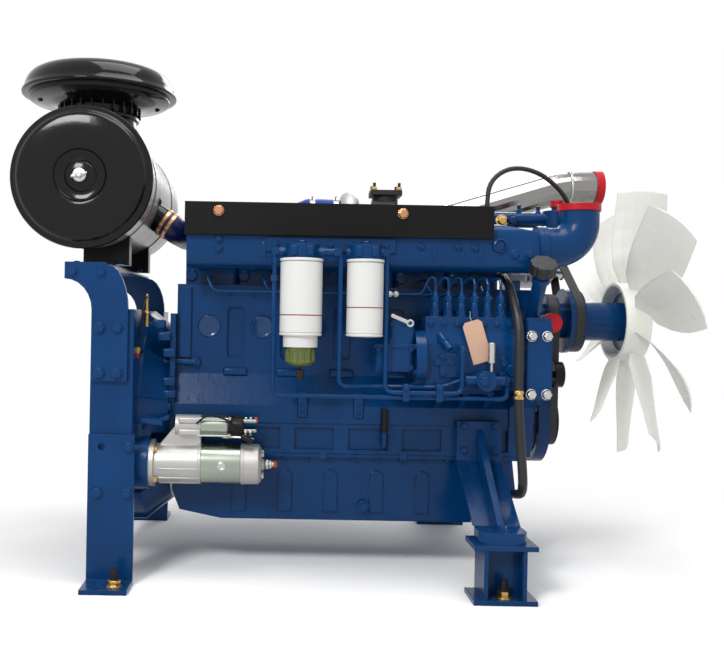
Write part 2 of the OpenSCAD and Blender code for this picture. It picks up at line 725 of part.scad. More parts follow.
// Fuel injection pump, flanged to the timing case
pump_out = 131;
pump_y = -block_half - pump_out;
pump_back = 18;
pump_x1 = block_x1 - pump_back;
pump_len = 240;
pump_x0 = pump_x1 - pump_len;
pump_half = 48;
pump_shoulder_z = 232;
pump_z1 = 303;
pump_neck_half = 34;
pump_flange_r = 64;
pump_flange_z = 178;
valve_start = 31;
valve_x0 = pump_x0 + valve_start;
pump_cap_r = 20;
module injection_pump() color("royalblue") {
    prism_x([[pump_y - pump_half, pump_z0], [pump_y - pump_half, pump_shoulder_z],
        [pump_y - pump_neck_half, pump_shoulder_z + pump_neck_half], [pump_y - pump_neck_half, pump_z1],
        [pump_y + pump_neck_half, pump_z1], [pump_y + pump_neck_half, pump_shoulder_z + pump_neck_half],
        [pump_y + pump_half, pump_shoulder_z], [pump_y + pump_half, pump_z0]], pump_x0, pump_x1);
    translate([0, pump_y, pump_flange_z]) rod_x(pump_flange_r, pump_x1, block_x1);
    for (i = [0 : cylinder_count - 1])
        translate([valve_x0 + i * element_pitch, 0, pump_shoulder_z - pump_half]) rod_y(pump_cap_r / 2, pump_y - pump_half - bolt_r, pump_y - pump_half);
}

// Speed governor behind the pump, in two steps, with the lever's pin
gov_flange_t = 27;
gov_len = 134;
gov_x0 = pump_x0 - gov_len;
gov_half = 46;
gov_z0 = 156;
gov_step_z = 225;
gov_z1 = 292;
gov_step = 34;
gov_r = 16;
lever_back = 43;
lever_drop = 8;
lever_x = pump_x0 - lever_back;
lever_z = gov_z1 - lever_drop;
lever_pin_r = 5;
module pump_governor() color("royalblue") {
    translate([0, pump_y, (pump_z0 + pump_shoulder_z + pump_neck_half) / 2])
        rod_x((pump_shoulder_z + pump_neck_half - pump_z0) / 2, pump_x0 - gov_flange_t, pump_x0);
    soft_block(gov_x0, pump_x0 - gov_flange_t, pump_y - gov_half, pump_y + gov_half,
        gov_z0, gov_step_z, gov_r);
    soft_block(gov_x0 + gov_step, pump_x0 - gov_flange_t, pump_y - gov_half, pump_y + gov_half - gov_r,
        gov_step_z, gov_z1, gov_r);
    translate([lever_x, 0, lever_z]) rod_y(lever_pin_r, pump_y - gov_half - bolt_r, pump_y - gov_half);
}

// Delivery valve holders on the pump, one for each cylinder
valve_r = 12;
valve_nut_r = 10;
valve_z1 = 371;
valve_step = 34;
module delivery_valves() color("silver") for (i = [0 : cylinder_count - 1])
    translate([valve_x0 + i * element_pitch, pump_y, 0]) {
        translate([0, 0, pump_z1]) cylinder(r = valve_r, h = valve_step, $fn = 6);
        rod_z(valve_nut_r, pump_z1 + valve_step, valve_z1);
    }

// Injection lines from the pump to each head
line_r = 4;
line_top = 408;
line_lane_y = -300;
line_lane_step = 11;
line_low = 362;
line_end_z = 404;
line_bend = 16;
function lane(i) = line_lane_y + i * line_lane_step;
module injection_lines() color("steelblue") for (i = [0 : cylinder_count - 1])
    let (x = valve_x0 + i * element_pitch)
        pipe([[x, pump_y, valve_z1], [x, pump_y, line_top], [x - line_bend, (pump_y + lane(i)) / 2, line_top],
            [x - 2 * line_bend, lane(i), line_low], [cylinder_x(i) + line_bend, lane(i), line_low],
            [cylinder_x(i), lane(i) + line_bend, line_end_z], [cylinder_x(i), -head_half, line_end_z]],
            line_r, line_bend, 8, 2);

// Fuel feed pump on the side of the injection pump
feed_back = 89;
feed_x = pump_x1 - feed_back;
feed_z = 138;
feed_r = 26;
feed_len = 52;
primer_off = 16;
primer_x = feed_x + primer_off;
primer_r = 13;
primer_z0 = 162;
feed_y = pump_y - pump_half - feed_len / 2;
primer_hole_r = 4;
module feed_pump() color("slategray") difference() {
    union() {
        translate([feed_x, 0, feed_z]) rod_y(feed_r, feed_y - feed_len / 2, feed_y + feed_len / 2);
        translate([feed_x, feed_y, feed_z]) rod_x(feed_r / 2, -2 * feed_r, 2 * feed_r);
        translate([primer_x, feed_y, 0]) rod_z(primer_r, feed_z, primer_z0);
    }
    translate([primer_x, feed_y, 0]) rod_z(primer_hole_r, feed_z, primer_z0 + cut);
}

// Fuel filter head with its bracket and cross unions
bank_y = -395;
can_top = 446;
can_from_rear = 343;
can_pitch = 166;
bank_rear = 93;
bank_front = 86;
can1_x = block_x0 + can_from_rear;
can2_x = can1_x + can_pitch;
bank_plate_x0 = can1_x - bank_rear;
bank_plate_x1 = can2_x + bank_front;
bank_plate_z0 = 470;
bank_plate_z1 = 508;
bank_plate_t = 8;
fuel_head_h = 38;
fuel_head_r = 42;
fuel_head_neck = 22;
union_r = 9;
union_z = can_top + fuel_head_h / 2;
union1_rear = 64;
union1_front = 96;
union2_half = 50;
module fuel_filter_head() color("royalblue") {
    box(bank_plate_x0, bank_plate_x1, manifold_y0 - bank_plate_t, manifold_y0, bank_plate_z0, bank_plate_z1);
    for (x = [can1_x, can2_x]) {
        translate([x, bank_y, 0]) rod_z(fuel_head_r, can_top, can_top + fuel_head_h);
        box(x - fuel_head_neck, x + fuel_head_neck, bank_y, manifold_y0 - bank_plate_t,
            can_top + union_r, can_top + fuel_head_h);
    }
    translate([can1_x, bank_y, union_z]) rod_x(union_r, -union1_rear, union1_front);
    translate([can2_x, bank_y, union_z]) rod_x(union_r, -union2_half, union2_half);
}

// Spin-on fuel filter cans
can_neck_r = 48;
can_neck_h = 29;
can_dome = 10;
module filter_can(r, neck) rotate_extrude() polygon([[0, 0], [r - can_dome, 0], [r, -can_dome],
    [r, can_dome - fuel_can_h], [r - can_dome, -fuel_can_h], [neck, -fuel_can_h],
    [neck, neck < r - can_dome + cut ? -fuel_can_h - can_neck_h : -fuel_can_h],
    [0, neck < r - can_dome + cut ? -fuel_can_h - can_neck_h : -fuel_can_h]]);
module fuel_filters() color("whitesmoke") {
    translate([can1_x, bank_y, can_top]) filter_can(primary_r, primary_r - can_dome);
    translate([can2_x, bank_y, can_top]) filter_can(secondary_r, secondary_r - can_dome + cut);
}

// Clear water bowl under the primary filter
bowl_r = 38.5;
bowl_h = 51;
bowl_z1 = can_top - fuel_can_h - can_neck_h;
bowl_spigot_r = 9;
bowl_spigot = 8;
drain_bore = 3;
module filter_bowl() color("yellowgreen") translate([can1_x, bank_y, 0]) difference() {
    rotate_extrude() polygon([[0, bowl_z1], [bowl_r, bowl_z1], [bowl_r, bowl_z1 - bowl_h + can_dome],
        [bowl_r - can_dome, bowl_z1 - bowl_h], [bowl_spigot_r, bowl_z1 - bowl_h],
        [bowl_spigot_r, bowl_z1 - bowl_h - bowl_spigot], [0, bowl_z1 - bowl_h - bowl_spigot]]);
    rod_z(drain_bore + run_gap, bowl_z1 - bowl_h - bowl_spigot - cut, bowl_z1 - bowl_h);
}

// Drain valve that screws round in the bowl
drain_knob_r = 14;
drain_knob_h = 25;
module drain_valve() color("#202020") translate([can1_x, bank_y, 0]) {
    rod_z(drain_bore, bowl_z1 - bowl_h - bowl_spigot, bowl_z1 - bowl_h - air_gap);
    rotate_extrude() polygon([[0, bowl_z1 - bowl_h - bowl_spigot - air_gap],
        [drain_knob_r, bowl_z1 - bowl_h - bowl_spigot - air_gap],
        [drain_knob_r / 2, bowl_z1 - bowl_h - bowl_spigot - drain_knob_h],
        [0, bowl_z1 - bowl_h - bowl_spigot - drain_knob_h]]);
    rod_z(drain_bore, bowl_z1 - bowl_h - bowl_spigot - air_gap, bowl_z1 - bowl_h - bowl_spigot);
}

// Fuel lines between the filters, the feed pump and the injection pump
fuel_r = 6;
fuel_bend = 22;
fuel_low = 91;
fuel_lane = 13;
fuel_swing = 60;
riser_run = 88;
riser_z = 224;
line_rear_x = can1_x - union1_rear - fuel_r;
line_mid_x = can1_x + union1_front + fuel_r;
line_front_x = can2_x + union2_half + fuel_r;
port_x0 = feed_x - 2 * feed_r;
port_x1 = feed_x + 2 * feed_r + fuel_r;
riser_x = pump_x0 + riser_run;
module fuel_lines() color("royalblue") {
    pipe([[line_rear_x, bank_y, union_z + fuel_r], [line_rear_x, bank_y, fuel_low],
        [port_x1, bank_y, fuel_low], [port_x1, feed_y, feed_z + fuel_r]], fuel_r, fuel_bend);
    pipe([[line_mid_x, bank_y, union_z + fuel_r], [line_mid_x, bank_y, fuel_low + 2 * fuel_lane],
        [line_mid_x + fuel_swing, bank_y + fuel_lane + cut, fuel_low + 2 * fuel_lane],
        [port_x0 - fuel_swing, bank_y + fuel_lane + cut, fuel_low + 2 * fuel_lane],
        [port_x0 - fuel_lane, feed_y, feed_z], [port_x0, feed_y, feed_z]], fuel_r, fuel_bend);
    pipe([[line_front_x, bank_y, union_z + fuel_r], [line_front_x, bank_y, fuel_low + fuel_lane],
        [line_front_x + fuel_swing, bank_y - fuel_lane - cut, fuel_low + fuel_lane],
        [riser_x, bank_y - fuel_lane - cut, fuel_low + fuel_lane],
        [riser_x, bank_y - fuel_lane - cut, riser_z],
        [riser_x, pump_y - pump_half, riser_z]], fuel_r, fuel_bend);
}

// Starter castings: the drive housing with its web up to the solenoid, and the end cap
starter_r = 53.5;
drive_x1 = 288;
flange_w = 14;
starter_pad_r = 64;
yoke_x1 = 395;
end_x1 = 451;
sol_z = -4;
sol_r = 29;
sol_x0 = 231;
sol_x1 = 286;
pinion_r = 22;
module starter_castings() color("gainsboro") {
    translate([0, starter_y, starter_z]) {
        rod_x(nose_r, bell_back_x + cut, starter_x0);
        rod_x(starter_pad_r, starter_x0, starter_x0 + flange_w);
        rod_x(starter_r, starter_x0 + flange_w, drive_x1);
        turned_x([[0, yoke_x1], [starter_r + cut, yoke_x1], [starter_r + cut, end_x1 - cast_wall],
            [starter_r - cast_wall, end_x1], [0, end_x1]]);
        rod_x(bolt_r, end_x1, end_x1 + starter_pad_r - starter_r + 2 * flange_w);
    }
    translate([0, starter_y, 0])
        prism_y([[starter_x0 + flange_w, starter_z], [starter_x0 + 2 * flange_w, starter_z + starter_r],
            [sol_x0 - flange_w, sol_z], [sol_x0, sol_z + sol_r - cast_wall],
            [sol_x1, sol_z + sol_r - cast_wall], [sol_x1, starter_z]], -cast_wall * 2, cast_wall * 2);
    translate([0, starter_y, sol_z]) rod_x(sol_r, sol_x0 - flange_w, sol_x1);
}

// Starter yoke and solenoid
sol_end = 356;
sol_cap = 400;
terminal_x = 436;
terminal_r = 6;
terminal_off = 15;
module starter_motor() color("darkseagreen") {
    translate([0, starter_y, starter_z]) rod_x(starter_r, drive_x1, yoke_x1);
    translate([0, starter_y, sol_z]) {
        rod_x(sol_r, sol_x1, sol_end);
        rod_x(sol_r - cut, sol_end, sol_cap);
        for (z = [-terminal_off, terminal_off]) translate([0, -z, z]) rod_x(terminal_r, sol_cap, terminal_x);
    }
}

// Air filter canister with its side outlet
filter_x = -28;
filter_y1 = 300;
filter_y0 = filter_y1 - filter_len;
outlet_y = -120;
stub_r = 39;
stub_from = [90, outlet_y, 606];
stub_to = [150, outlet_y, 567];
can_edge = 14;
module air_filter_body() color("gainsboro") {
    translate([filter_x, 0, filter_z]) turned_y([[0, filter_y0], [filter_r, filter_y0],
        [filter_r, filter_y1 - can_edge], [filter_r - can_edge, filter_y1], [0, filter_y1]]);
    swept([stub_from, stub_to], [stub_r, stub_r], 24);
}

// Air filter cover: a dished black lid with a rim
rim_r = 187;
rim_t = 14;
lid_r = 170;
lid_depth = 35;
dish_r = 65;
dish_depth = 12;
hub_r = 43;
lid_round = 12;
module air_filter_cover() color("#181818") translate([filter_x, 0, filter_z])
    turned_y([[0, filter_y0], [rim_r, filter_y0], [rim_r, filter_y0 - rim_t],
        [lid_r + lid_round / 2, filter_y0 - rim_t - lid_round / 2],
        [lid_r, filter_y0 - lid_depth + lid_round],
        [lid_r - lid_round, filter_y0 - lid_depth], [dish_r + lid_round, filter_y0 - lid_depth],
        [dish_r, filter_y0 - lid_depth + dish_depth], [hub_r, filter_y0 - lid_depth + dish_depth],
        [hub_r - cast_wall, filter_y0 - lid_depth + cast_wall / 2],
        [cast_wall, filter_y0 - lid_depth + cast_wall / 2],
        [cast_wall, filter_y0 - lid_depth], [0, filter_y0 - lid_depth]]);

// Wing nut that holds the air filter cover
wing_hub_r = 8;
wing_hub_t = 12;
wing_disc_r = 18;
wing_r = 22;
wing_t = 4;
wing_y1 = filter_y0 - lid_depth;
module wing_nut() color("silver") translate([filter_x, 0, filter_z]) {
    rod_y(wing_disc_r, wing_y1 - wing_t, wing_y1);
    rod_y(wing_hub_r, wing_y1 - wing_hub_t, wing_y1 - wing_t);
    box(-wing_r, wing_r, wing_y1 - wing_hub_t, wing_y1 - wing_t, -wing_t, wing_t);
}

// Rain cap on its neck over the air filter
rain_x = -30;
rain_y = -160;
rain_top = 1000;
rain_rim_z = 911;
rain_lip = 6;
rain_h = 66;
rain_shares = [[0.98, 0.1], [0.955, 0.45], [0.9, 0.78], [0.82, 1]];
pan_plate_r = 199;
pan_plate_z = 896;
rain_neck_r = 105;
module rain_cap() color("#181818") difference() {
    translate([rain_x, rain_y, 0]) {
        rod_z(rain_neck_r, filter_z, pan_plate_z + cut);
        rotate_extrude() polygon([[0, pan_plate_z], [pan_plate_r - can_edge, pan_plate_z],
            [pan_plate_r, pan_plate_z + can_edge], [rain_r, rain_rim_z], [rain_r, rain_rim_z + rain_lip],
            each [for (s = rain_shares) [s[0] * rain_r, rain_rim_z + s[1] * rain_h]],
            [rain_r / 2, (rain_top + rain_rim_z + rain_h) / 2 + rain_lip], [0, rain_top]]);
    }
    translate([filter_x, 0, filter_z]) rod_y(filter_r, filter_y0 - cut, filter_y1 + cut);
}

// Air hose from the filter round the back of the heads to the turbocharger
hose_r = 40;
hose_bend = 70;
hose_run = 140;
hose_rise = 10;
hose_x = 188;
hose_low = stub_to.z + (hose_x - stub_to.x) * (stub_to.z - stub_from.z) / (stub_to.x - stub_from.x);
hose_route = [stub_to, [hose_x, outlet_y, hose_low], [hose_x, turbo_y - 2 * hose_rise, hose_low + hose_rise],
    [hose_x + hose_run, turbo_y, turbo_z], [comp_x0 - inlet_len, turbo_y, turbo_z]];
module air_hose() color("navy") pipe(hose_route, hose_r, hose_bend, 16, 5);

// Brackets on the flywheel housing that carry the air filter, with its shelf and saddles
brace_t = 14;
brace_x0 = 3;
brace_x1 = 98;
brace_z0 = 119;
brace_bend_z = 304;
brace_tip_x = -69;
brace_top_z = 423;
brace_tip_h = 38;
brace_top_x = 40;
shelf_plate_t = 6;
saddle_x0 = -46;
saddle_x1 = 79;
saddle_w = 40;
saddle_y = [-250, 120];
brace_bolts = [[25, 258], [71, 259], [26, 140], [72, 140]];
brace_points = concat([[brace_x0, brace_z0], [brace_x1, brace_z0], [brace_x1, brace_bend_z]],
    [for (a = [15 : 15 : 75]) [brace_x1 - (brace_x1 - brace_top_x) * (1 - cos(a)),
        brace_bend_z + (brace_top_z - brace_bend_z) * sin(a)]],
    [[brace_top_x, brace_top_z], [brace_tip_x, brace_top_z], [brace_tip_x, brace_top_z - brace_tip_h]],
    [for (a = [75 : -15 : 15]) [brace_x0 - (brace_x0 - brace_tip_x) * (1 - cos(a)),
        brace_bend_z + (brace_top_z - brace_tip_h - brace_bend_z) * sin(a)]],
    [[brace_x0, brace_bend_z]]);
module filter_stand() color("royalblue") {
    both_sides() {
        prism_y(brace_points, -pad_half - brace_t, -pad_half);
        for (b = brace_bolts) translate([b[0], 0, b[1]])
            rod_y(bolt_r + cap_lip, -pad_half - brace_t - bolt_head, -pad_half - brace_t);
    }
    box(brace_tip_x, brace_top_x, -pad_half - brace_t, pad_half + brace_t,
        brace_top_z, brace_top_z + shelf_plate_t);
}

// Black saddles between the shelf and the canister
module filter_saddles() color("#202020") difference() {
    for (y = saddle_y) translate([0, y, 0])
        box(saddle_x0, saddle_x1, -saddle_w / 2, saddle_w / 2, brace_top_z + shelf_plate_t,
            filter_z - filter_r + saddle_w);
    translate([filter_x, 0, filter_z]) rod_y(filter_r, filter_y0, filter_y1);
}

// Rear legs: plates on the housing's side pads, bent out at the floor
leg_x0 = 0;
leg_x1 = 121;
leg_z1 = -20;
leg_out = 90;
leg_anchor_out = 55;
leg_anchor_y = pad_half + foot_t + leg_anchor_out;
anchor_hole_r = 11;
rear_anchor_x = 84;
leg_bolts = [[106, -52], [25, -172], [103, -172]];
leg_hole = [35, 0, -52];
leg_hole_r = 9;
module rear_legs() color("royalblue") both_sides() difference() {
    union() {
        box(leg_x0, leg_x1, -pad_half - foot_t, -pad_half, floor_z, leg_z1);
        box(leg_x0, leg_x1, -pad_half - foot_t - leg_out, -pad_half, floor_z, floor_z + foot_t);
        for (b = leg_bolts) translate([b[0], 0, b[1]])
            rod_y(bolt_r + cap_lip, -pad_half - foot_t - bolt_head, -pad_half - foot_t);
    }
    translate([rear_anchor_x, -leg_anchor_y, 0]) rod_z(anchor_hole_r, floor_z - cut, floor_z + foot_t + cut);
    translate(leg_hole) rod_y(leg_hole_r, -pad_half - foot_t - cut, -pad_half + cut);
}

// Front feet: a bracket on the lower crankcase and an H-section post under it
foot_plate_z1 = 17;
foot_plate_z0 = -106;
foot_plate_t = 16;
foot_pad_z = -265;
foot_pad_t = 30;
foot_shift = 14;
foot_pad_x0 = foot_x0 + foot_shift;
foot_pad_x1 = foot_x1 + foot_shift;
foot_pad_y0 = 500;
foot_pad_y1 = 392;
foot_pad_r = 34;
foot_ramp_y = 412;
foot_rib_t = 18;
foot_rib_drop = 22;
post_t = 10;
post_x0 = foot_pad_x0 + post_t;
post_x1 = foot_pad_x1 - post_t / 2;
post_rim = 26;
post_edge = 6;
module foot_bridge(top_x0, top_x1, top_z0, top_z1, low_x0, low_x1, low_y0, low_y1) hull() {
    box(top_x0, top_x1, -foot_pad_half - foot_plate_t, -foot_pad_half - foot_plate_t + cut, top_z0, top_z1);
    box(low_x0, low_x1, -low_y0, -low_y1, foot_pad_z + foot_pad_t - cut, foot_pad_z + foot_pad_t);
}
module front_feet() color("royalblue") both_sides() {
    box(foot_x0, foot_x1, -foot_pad_half - foot_plate_t, -foot_pad_half, foot_plate_z0, foot_plate_z1);
    foot_bridge(foot_x0, foot_x1, foot_plate_z0, foot_plate_z0 + foot_plate_t, foot_pad_x0, foot_pad_x1,
        foot_ramp_y, foot_ramp_y - foot_plate_t);
    foot_bridge((foot_x0 + foot_x1 - foot_rib_t) / 2, (foot_x0 + foot_x1 + foot_rib_t) / 2, foot_plate_z0,
        foot_plate_z1 - foot_rib_drop, (foot_pad_x0 + foot_pad_x1 - foot_rib_t) / 2,
        (foot_pad_x0 + foot_pad_x1 + foot_rib_t) / 2, foot_pad_y0 - foot_pad_r, foot_ramp_y - foot_plate_t);
    soft_block(foot_pad_x0, foot_pad_x1, -foot_pad_y0, -foot_pad_y1, foot_pad_z, foot_pad_z + foot_pad_t,
        foot_pad_r);
    for (z = [floor_z, foot_pad_z - foot_t])
        box(post_x0 - post_rim, post_x1 + post_rim, -foot_pad_y0 - post_edge, -foot_pad_y1, z, z + foot_t);
    for (x = [post_x0, post_x1 - post_t])
        box(x, x + post_t, -foot_pad_y0, -foot_pad_y1, floor_z + foot_t, foot_pad_z - foot_t);
    box(post_x0 + post_t, post_x1 - post_t, -(foot_pad_y0 + foot_pad_y1 + post_t) / 2,
        -(foot_pad_y0 + foot_pad_y1 - post_t) / 2, floor_z + foot_t, foot_pad_z - foot_t);
    for (x = [foot_x0 + foot_rib_t, foot_x1 - foot_rib_t],
         z = [(foot_plate_z0 + foot_plate_z1) / 2 - foot_rib_t, foot_plate_z1 - foot_t])
        translate([x, -foot_pad_half - foot_plate_t, z]) rod_y(bolt_r, -bolt_head, 0);
}

// Anchor bolts at the four feet
anchor_r = 10;
anchor_h = 46;
nut_r = 16;
nut_h = 14;
washer_r = 20;
washer_t = 4;
module anchor() {
    rod_z(washer_r, 0, washer_t);
    translate([0, 0, washer_t]) cylinder(r = nut_r, h = nut_h, $fn = 6);
    rod_z(anchor_r, 0, anchor_h);
}
module anchor_bolts() color("#303030") both_sides() {
    translate([rear_anchor_x, -leg_anchor_y, floor_z + foot_t]) anchor();
    translate([rear_anchor_x, -leg_anchor_y, 0]) rod_z(anchor_r, floor_z, floor_z + foot_t);
    translate([(post_x0 + post_x1) / 2, -foot_pad_y0 + washer_r + cut, floor_z + foot_t]) anchor();
}

// Water pump on the timing case, which also carries the fan shaft
pump_vol_r = 84;
pump_vol_t = 44;
bearing_r = 50;
bearing_len = 76;
bearing_x1 = front_x + bearing_len;
fan_shaft_r = 25;
inlet_pipe_r = 22;
module water_pump() color("royalblue") difference() {
    union() {
        translate([0, 0, fan_z]) {
            rod_x(pump_vol_r, front_x, front_x + pump_vol_t);
            rod_x(bearing_r, front_x, bearing_x1);
        }
        translate([inlet_x, 0, inlet_z]) rod_y(inlet_pipe_r, -inlet_y, -fan_shaft_r - cast_wall);
    }
    translate([0, 0, fan_z]) rod_x(fan_shaft_r + run_gap, front_x + cast_wall, bearing_x1 + cut);
}

// Fan hub: shaft, two pulleys and the long spacer with its flange
belt_a_x0 = bearing_x1 + cut;
belt_w = 26;
belt_t = 5;
pulley_lip = 4;
pulley_w = 35;
fan_pulley_r = 75;
hub_neck_r = 53;
hub_run = 60;
hub_disc_t = 13;
hub_disc_x = belt_a_x0 + hub_run;
hub_disc_r = 97;
belt_b_x0 = hub_disc_x + hub_disc_t;
front_pulley_r = 88;
spacer_r = 58;
spacer_run = 317;
spacer_x1 = front_x + spacer_run;
hub_flange_r = 87.5;
hub_flange_t = 10;
groove_depth = 5;
module fan_hub() color("royalblue") translate([0, 0, fan_z]) {
    rod_x(fan_shaft_r, front_x + cast_wall + air_gap, belt_a_x0);
    turned_x([[0, belt_a_x0], [fan_pulley_r + groove_depth, belt_a_x0],
        [fan_pulley_r + groove_depth, belt_a_x0 + pulley_lip],
        [fan_pulley_r, belt_a_x0 + pulley_lip], [fan_pulley_r, belt_a_x0 + pulley_w - pulley_lip],
        [fan_pulley_r + groove_depth, belt_a_x0 + pulley_w - pulley_lip],
        [fan_pulley_r + groove_depth, belt_a_x0 + pulley_w], [hub_neck_r, belt_a_x0 + pulley_w],
        [hub_neck_r, hub_disc_x], [hub_disc_r, hub_disc_x], [hub_disc_r, belt_b_x0],
        [front_pulley_r + groove_depth, belt_b_x0], [front_pulley_r + groove_depth, belt_b_x0 + pulley_lip],
        [front_pulley_r, belt_b_x0 + pulley_lip], [front_pulley_r, belt_b_x0 + pulley_w - pulley_lip],
        [front_pulley_r + groove_depth, belt_b_x0 + pulley_w - pulley_lip],
        [front_pulley_r + groove_depth, belt_b_x0 + pulley_w], [spacer_r, belt_b_x0 + pulley_w],
        [spacer_r, spacer_x1], [hub_flange_r, spacer_x1], [hub_flange_r, spacer_x1 + hub_flange_t],
        [0, spacer_x1 + hub_flange_t]]);
}

// Fan: a ribbed hub ring with twisted blades
fan_hub_r = 118;
fan_ring_t = 9;
fan_back = 25;
fan_front = 30;
fan_x0 = spacer_x1 - fan_back;
fan_x1 = spacer_x1 + fan_front;
fan_plate_t = 9;
fan_root_r = 112;
blade_front = 33;
blade_x = spacer_x1 + blade_front;
blade_t = 5;
chord_shares = [0.2, 0.36, 0.42, 0.45, 0.455, 0.45];
twist_angles = [55, 46, 40, 35, 31, 29];
camber_share = 0.08;
first_blade_share = 0.25;
blade_stations = 6;
blade_across = 6;
function blade_r(j) = fan_root_r + (fan_r - fan_root_r) * j / (blade_stations - 1);
function blade_point(j, k, side) =
    let (r = blade_r(j), c = chord_shares[j] * fan_r, u = k / blade_across - 0.5,
         bow = camber_share * c * (1 - 4 * u * u) + side * blade_t / 2 * (1 - 3 * u * u),
         a = twist_angles[j], s = bow * sin(a) - u * c * cos(a), x = u * c * sin(a) + bow * cos(a),
         q = s / r * 180 / PI)
        [blade_x + x, r * sin(q), r * cos(q)];
function blade_index(j, k, side) = (j * (blade_across + 1) + k) * 2 + side;
function facet(a, b, c, d, half, flip) = half == 0 ? (flip ? [a, c, b] : [a, b, c]) :
    (flip ? [a, d, c] : [a, c, d]);
module blade() {
    w = blade_across;
    last = blade_stations - 1;
    points = [for (j = [0 : last], k = [0 : w], side = [-1, 1]) blade_point(j, k, side)];
    skins = [for (j = [0 : last - 1], k = [0 : w - 1], s = [0, 1], h = [0, 1])
        facet(blade_index(j, k, s), blade_index(j, k + 1, s), blade_index(j + 1, k + 1, s),
            blade_index(j + 1, k, s), h, s == 0)];
    edges = [for (j = [0 : last - 1], k = [0, w], h = [0, 1])
        facet(blade_index(j, k, 0), blade_index(j, k, 1), blade_index(j + 1, k, 1),
            blade_index(j + 1, k, 0), h, k != 0)];
    tips = [for (k = [0 : w - 1], j = [0, last], h = [0, 1])
        facet(blade_index(j, k, 0), blade_index(j, k + 1, 0), blade_index(j, k + 1, 1),
            blade_index(j, k, 1), h, j != 0)];
    polyhedron(points, concat(skins, edges, tips));
}
module fan() color("ivory") translate([0, 0, fan_z]) {
    for (i = [0 : fan_blades - 1]) rotate([360 * (i + first_blade_share) / fan_blades, 0, 0]) blade();
    difference() {
        rod_x(fan_hub_r, fan_x0, fan_x1 + 2 * fan_ring_t);
        rod_x(fan_hub_r - fan_ring_t, fan_x0 - cut, spacer_x1 + hub_flange_t);
        rod_x(fan_hub_r - fan_ring_t, spacer_x1 + hub_flange_t + fan_plate_t, fan_x1 + 2 * fan_ring_t + cut);
        rod_x(fan_shaft_r, spacer_x1, fan_x1);
    }
}

// Alternator high on the far side, with its pulley
alt_y = 150;
alt_z = 470;
alt_r = 66;
alt_back = 10;
alt_gap = 8;
alt_x0 = front_x - alt_back;
alt_x1 = belt_b_x0 - alt_gap;
alt_shaft_r = 9;
alt_pulley_r = 34;
module alternator() color("gainsboro") translate([0, alt_y, alt_z]) difference() {
    turned_x([[0, alt_x0], [alt_r - can_edge, alt_x0], [alt_r, alt_x0 + can_edge],
        [alt_r, alt_x1 - can_edge], [alt_r - can_edge, alt_x1], [0, alt_x1]]);
    rod_x(alt_shaft_r + run_gap, alt_x1 - 2 * alt_shaft_r, alt_x1 + cut);
}
module grooved_pulley(r, x0) turned_x([[0, x0], [r + groove_depth, x0], [r + groove_depth, x0 + pulley_lip],
    [r, x0 + pulley_lip], [r, x0 + pulley_w - pulley_lip], [r + groove_depth, x0 + pulley_w - pulley_lip],
    [r + groove_depth, x0 + pulley_w], [0, x0 + pulley_w]]);
module alternator_pulley() color("silver") translate([0, alt_y, alt_z]) {
    grooved_pulley(alt_pulley_r, belt_b_x0);
    rod_x(alt_shaft_r, alt_x1 - 2 * alt_shaft_r + air_gap, belt_b_x0);
}

// Tensioner arm and alternator bracket on the timing case
idler_r = 37;
idler_z = 143;
idler_slope = (fan_pulley_r - crank_pulley_r) / fan_z;
idler_y = -(crank_pulley_r + belt_t + idler_r + 2 * air_gap + idler_slope * idler_z);
arm_t = 14;
arm_half = 24;
idler_pin_r = 10;
arm_gap = 2;
arm_x1 = belt_a_x0 - arm_gap;
module accessory_brackets() color("royalblue") {
    translate([0, idler_y, idler_z]) {
        rod_x(arm_half, front_x, arm_x1 - arm_t);
        rod_x(idler_pin_r, arm_x1 - arm_t, belt_a_x0 + pulley_w - pulley_lip);
    }
    difference() {
        box(alt_x0, alt_x0 + 2 * arm_half, alt_y - 2 * arm_half, alt_y + arm_half, deck_z, alt_z);
        translate([0, alt_y, alt_z]) rod_x(alt_r, alt_x0 - cut, alt_x1);
        box(front_x, front_x + 2 * arm_half, alt_y - alt_r, alt_y + alt_r, deck_z - cut, deck_z + run_gap);
    }
}

// Idler pulley on the back of the belt
module idler_pulley() color("#202020") translate([0, idler_y, idler_z]) difference() {
    rod_x(idler_r, belt_a_x0, belt_a_x0 + pulley_w - 2 * pulley_lip);
    rod_x(idler_pin_r + run_gap, belt_a_x0 - cut, belt_a_x0 + pulley_w);
}

// Belts: crank to water pump, and fan pulley to alternator
module belt_outline(d, r1, r2) {
    gap = norm(d);
    a = acos((r1 - r2) / gap);
    b = atan2(d.y, d.x);
    circle(r = r1);
    translate(d) circle(r = r2);
    polygon([r1 * [cos(b + a), sin(b + a)], d + r2 * [cos(b + a), sin(b + a)],
        d + r2 * [cos(b - a), sin(b - a)], r1 * [cos(b - a), sin(b - a)]]);
}
module belt(x, from, to, r1, r2) translate([x, from.x, from.y]) rotate([90, 0, 90]) difference() {
    linear_extrude(belt_w) belt_outline(to - from, r1 + belt_t, r2 + belt_t);
    translate([0, 0, -cut]) linear_extrude(belt_w + 2 * cut) belt_outline(to - from, r1, r2);
}
module drive_belts() color("#202020") {
    belt(belt_a_x0 + pulley_lip + air_gap, [0, 0], [0, fan_z], crank_pulley_r + air_gap,
        fan_pulley_r + air_gap);
    belt(belt_b_x0 + pulley_lip + air_gap, [0, fan_z], [alt_y, alt_z], front_pulley_r + air_gap,
        alt_pulley_r + air_gap);
}

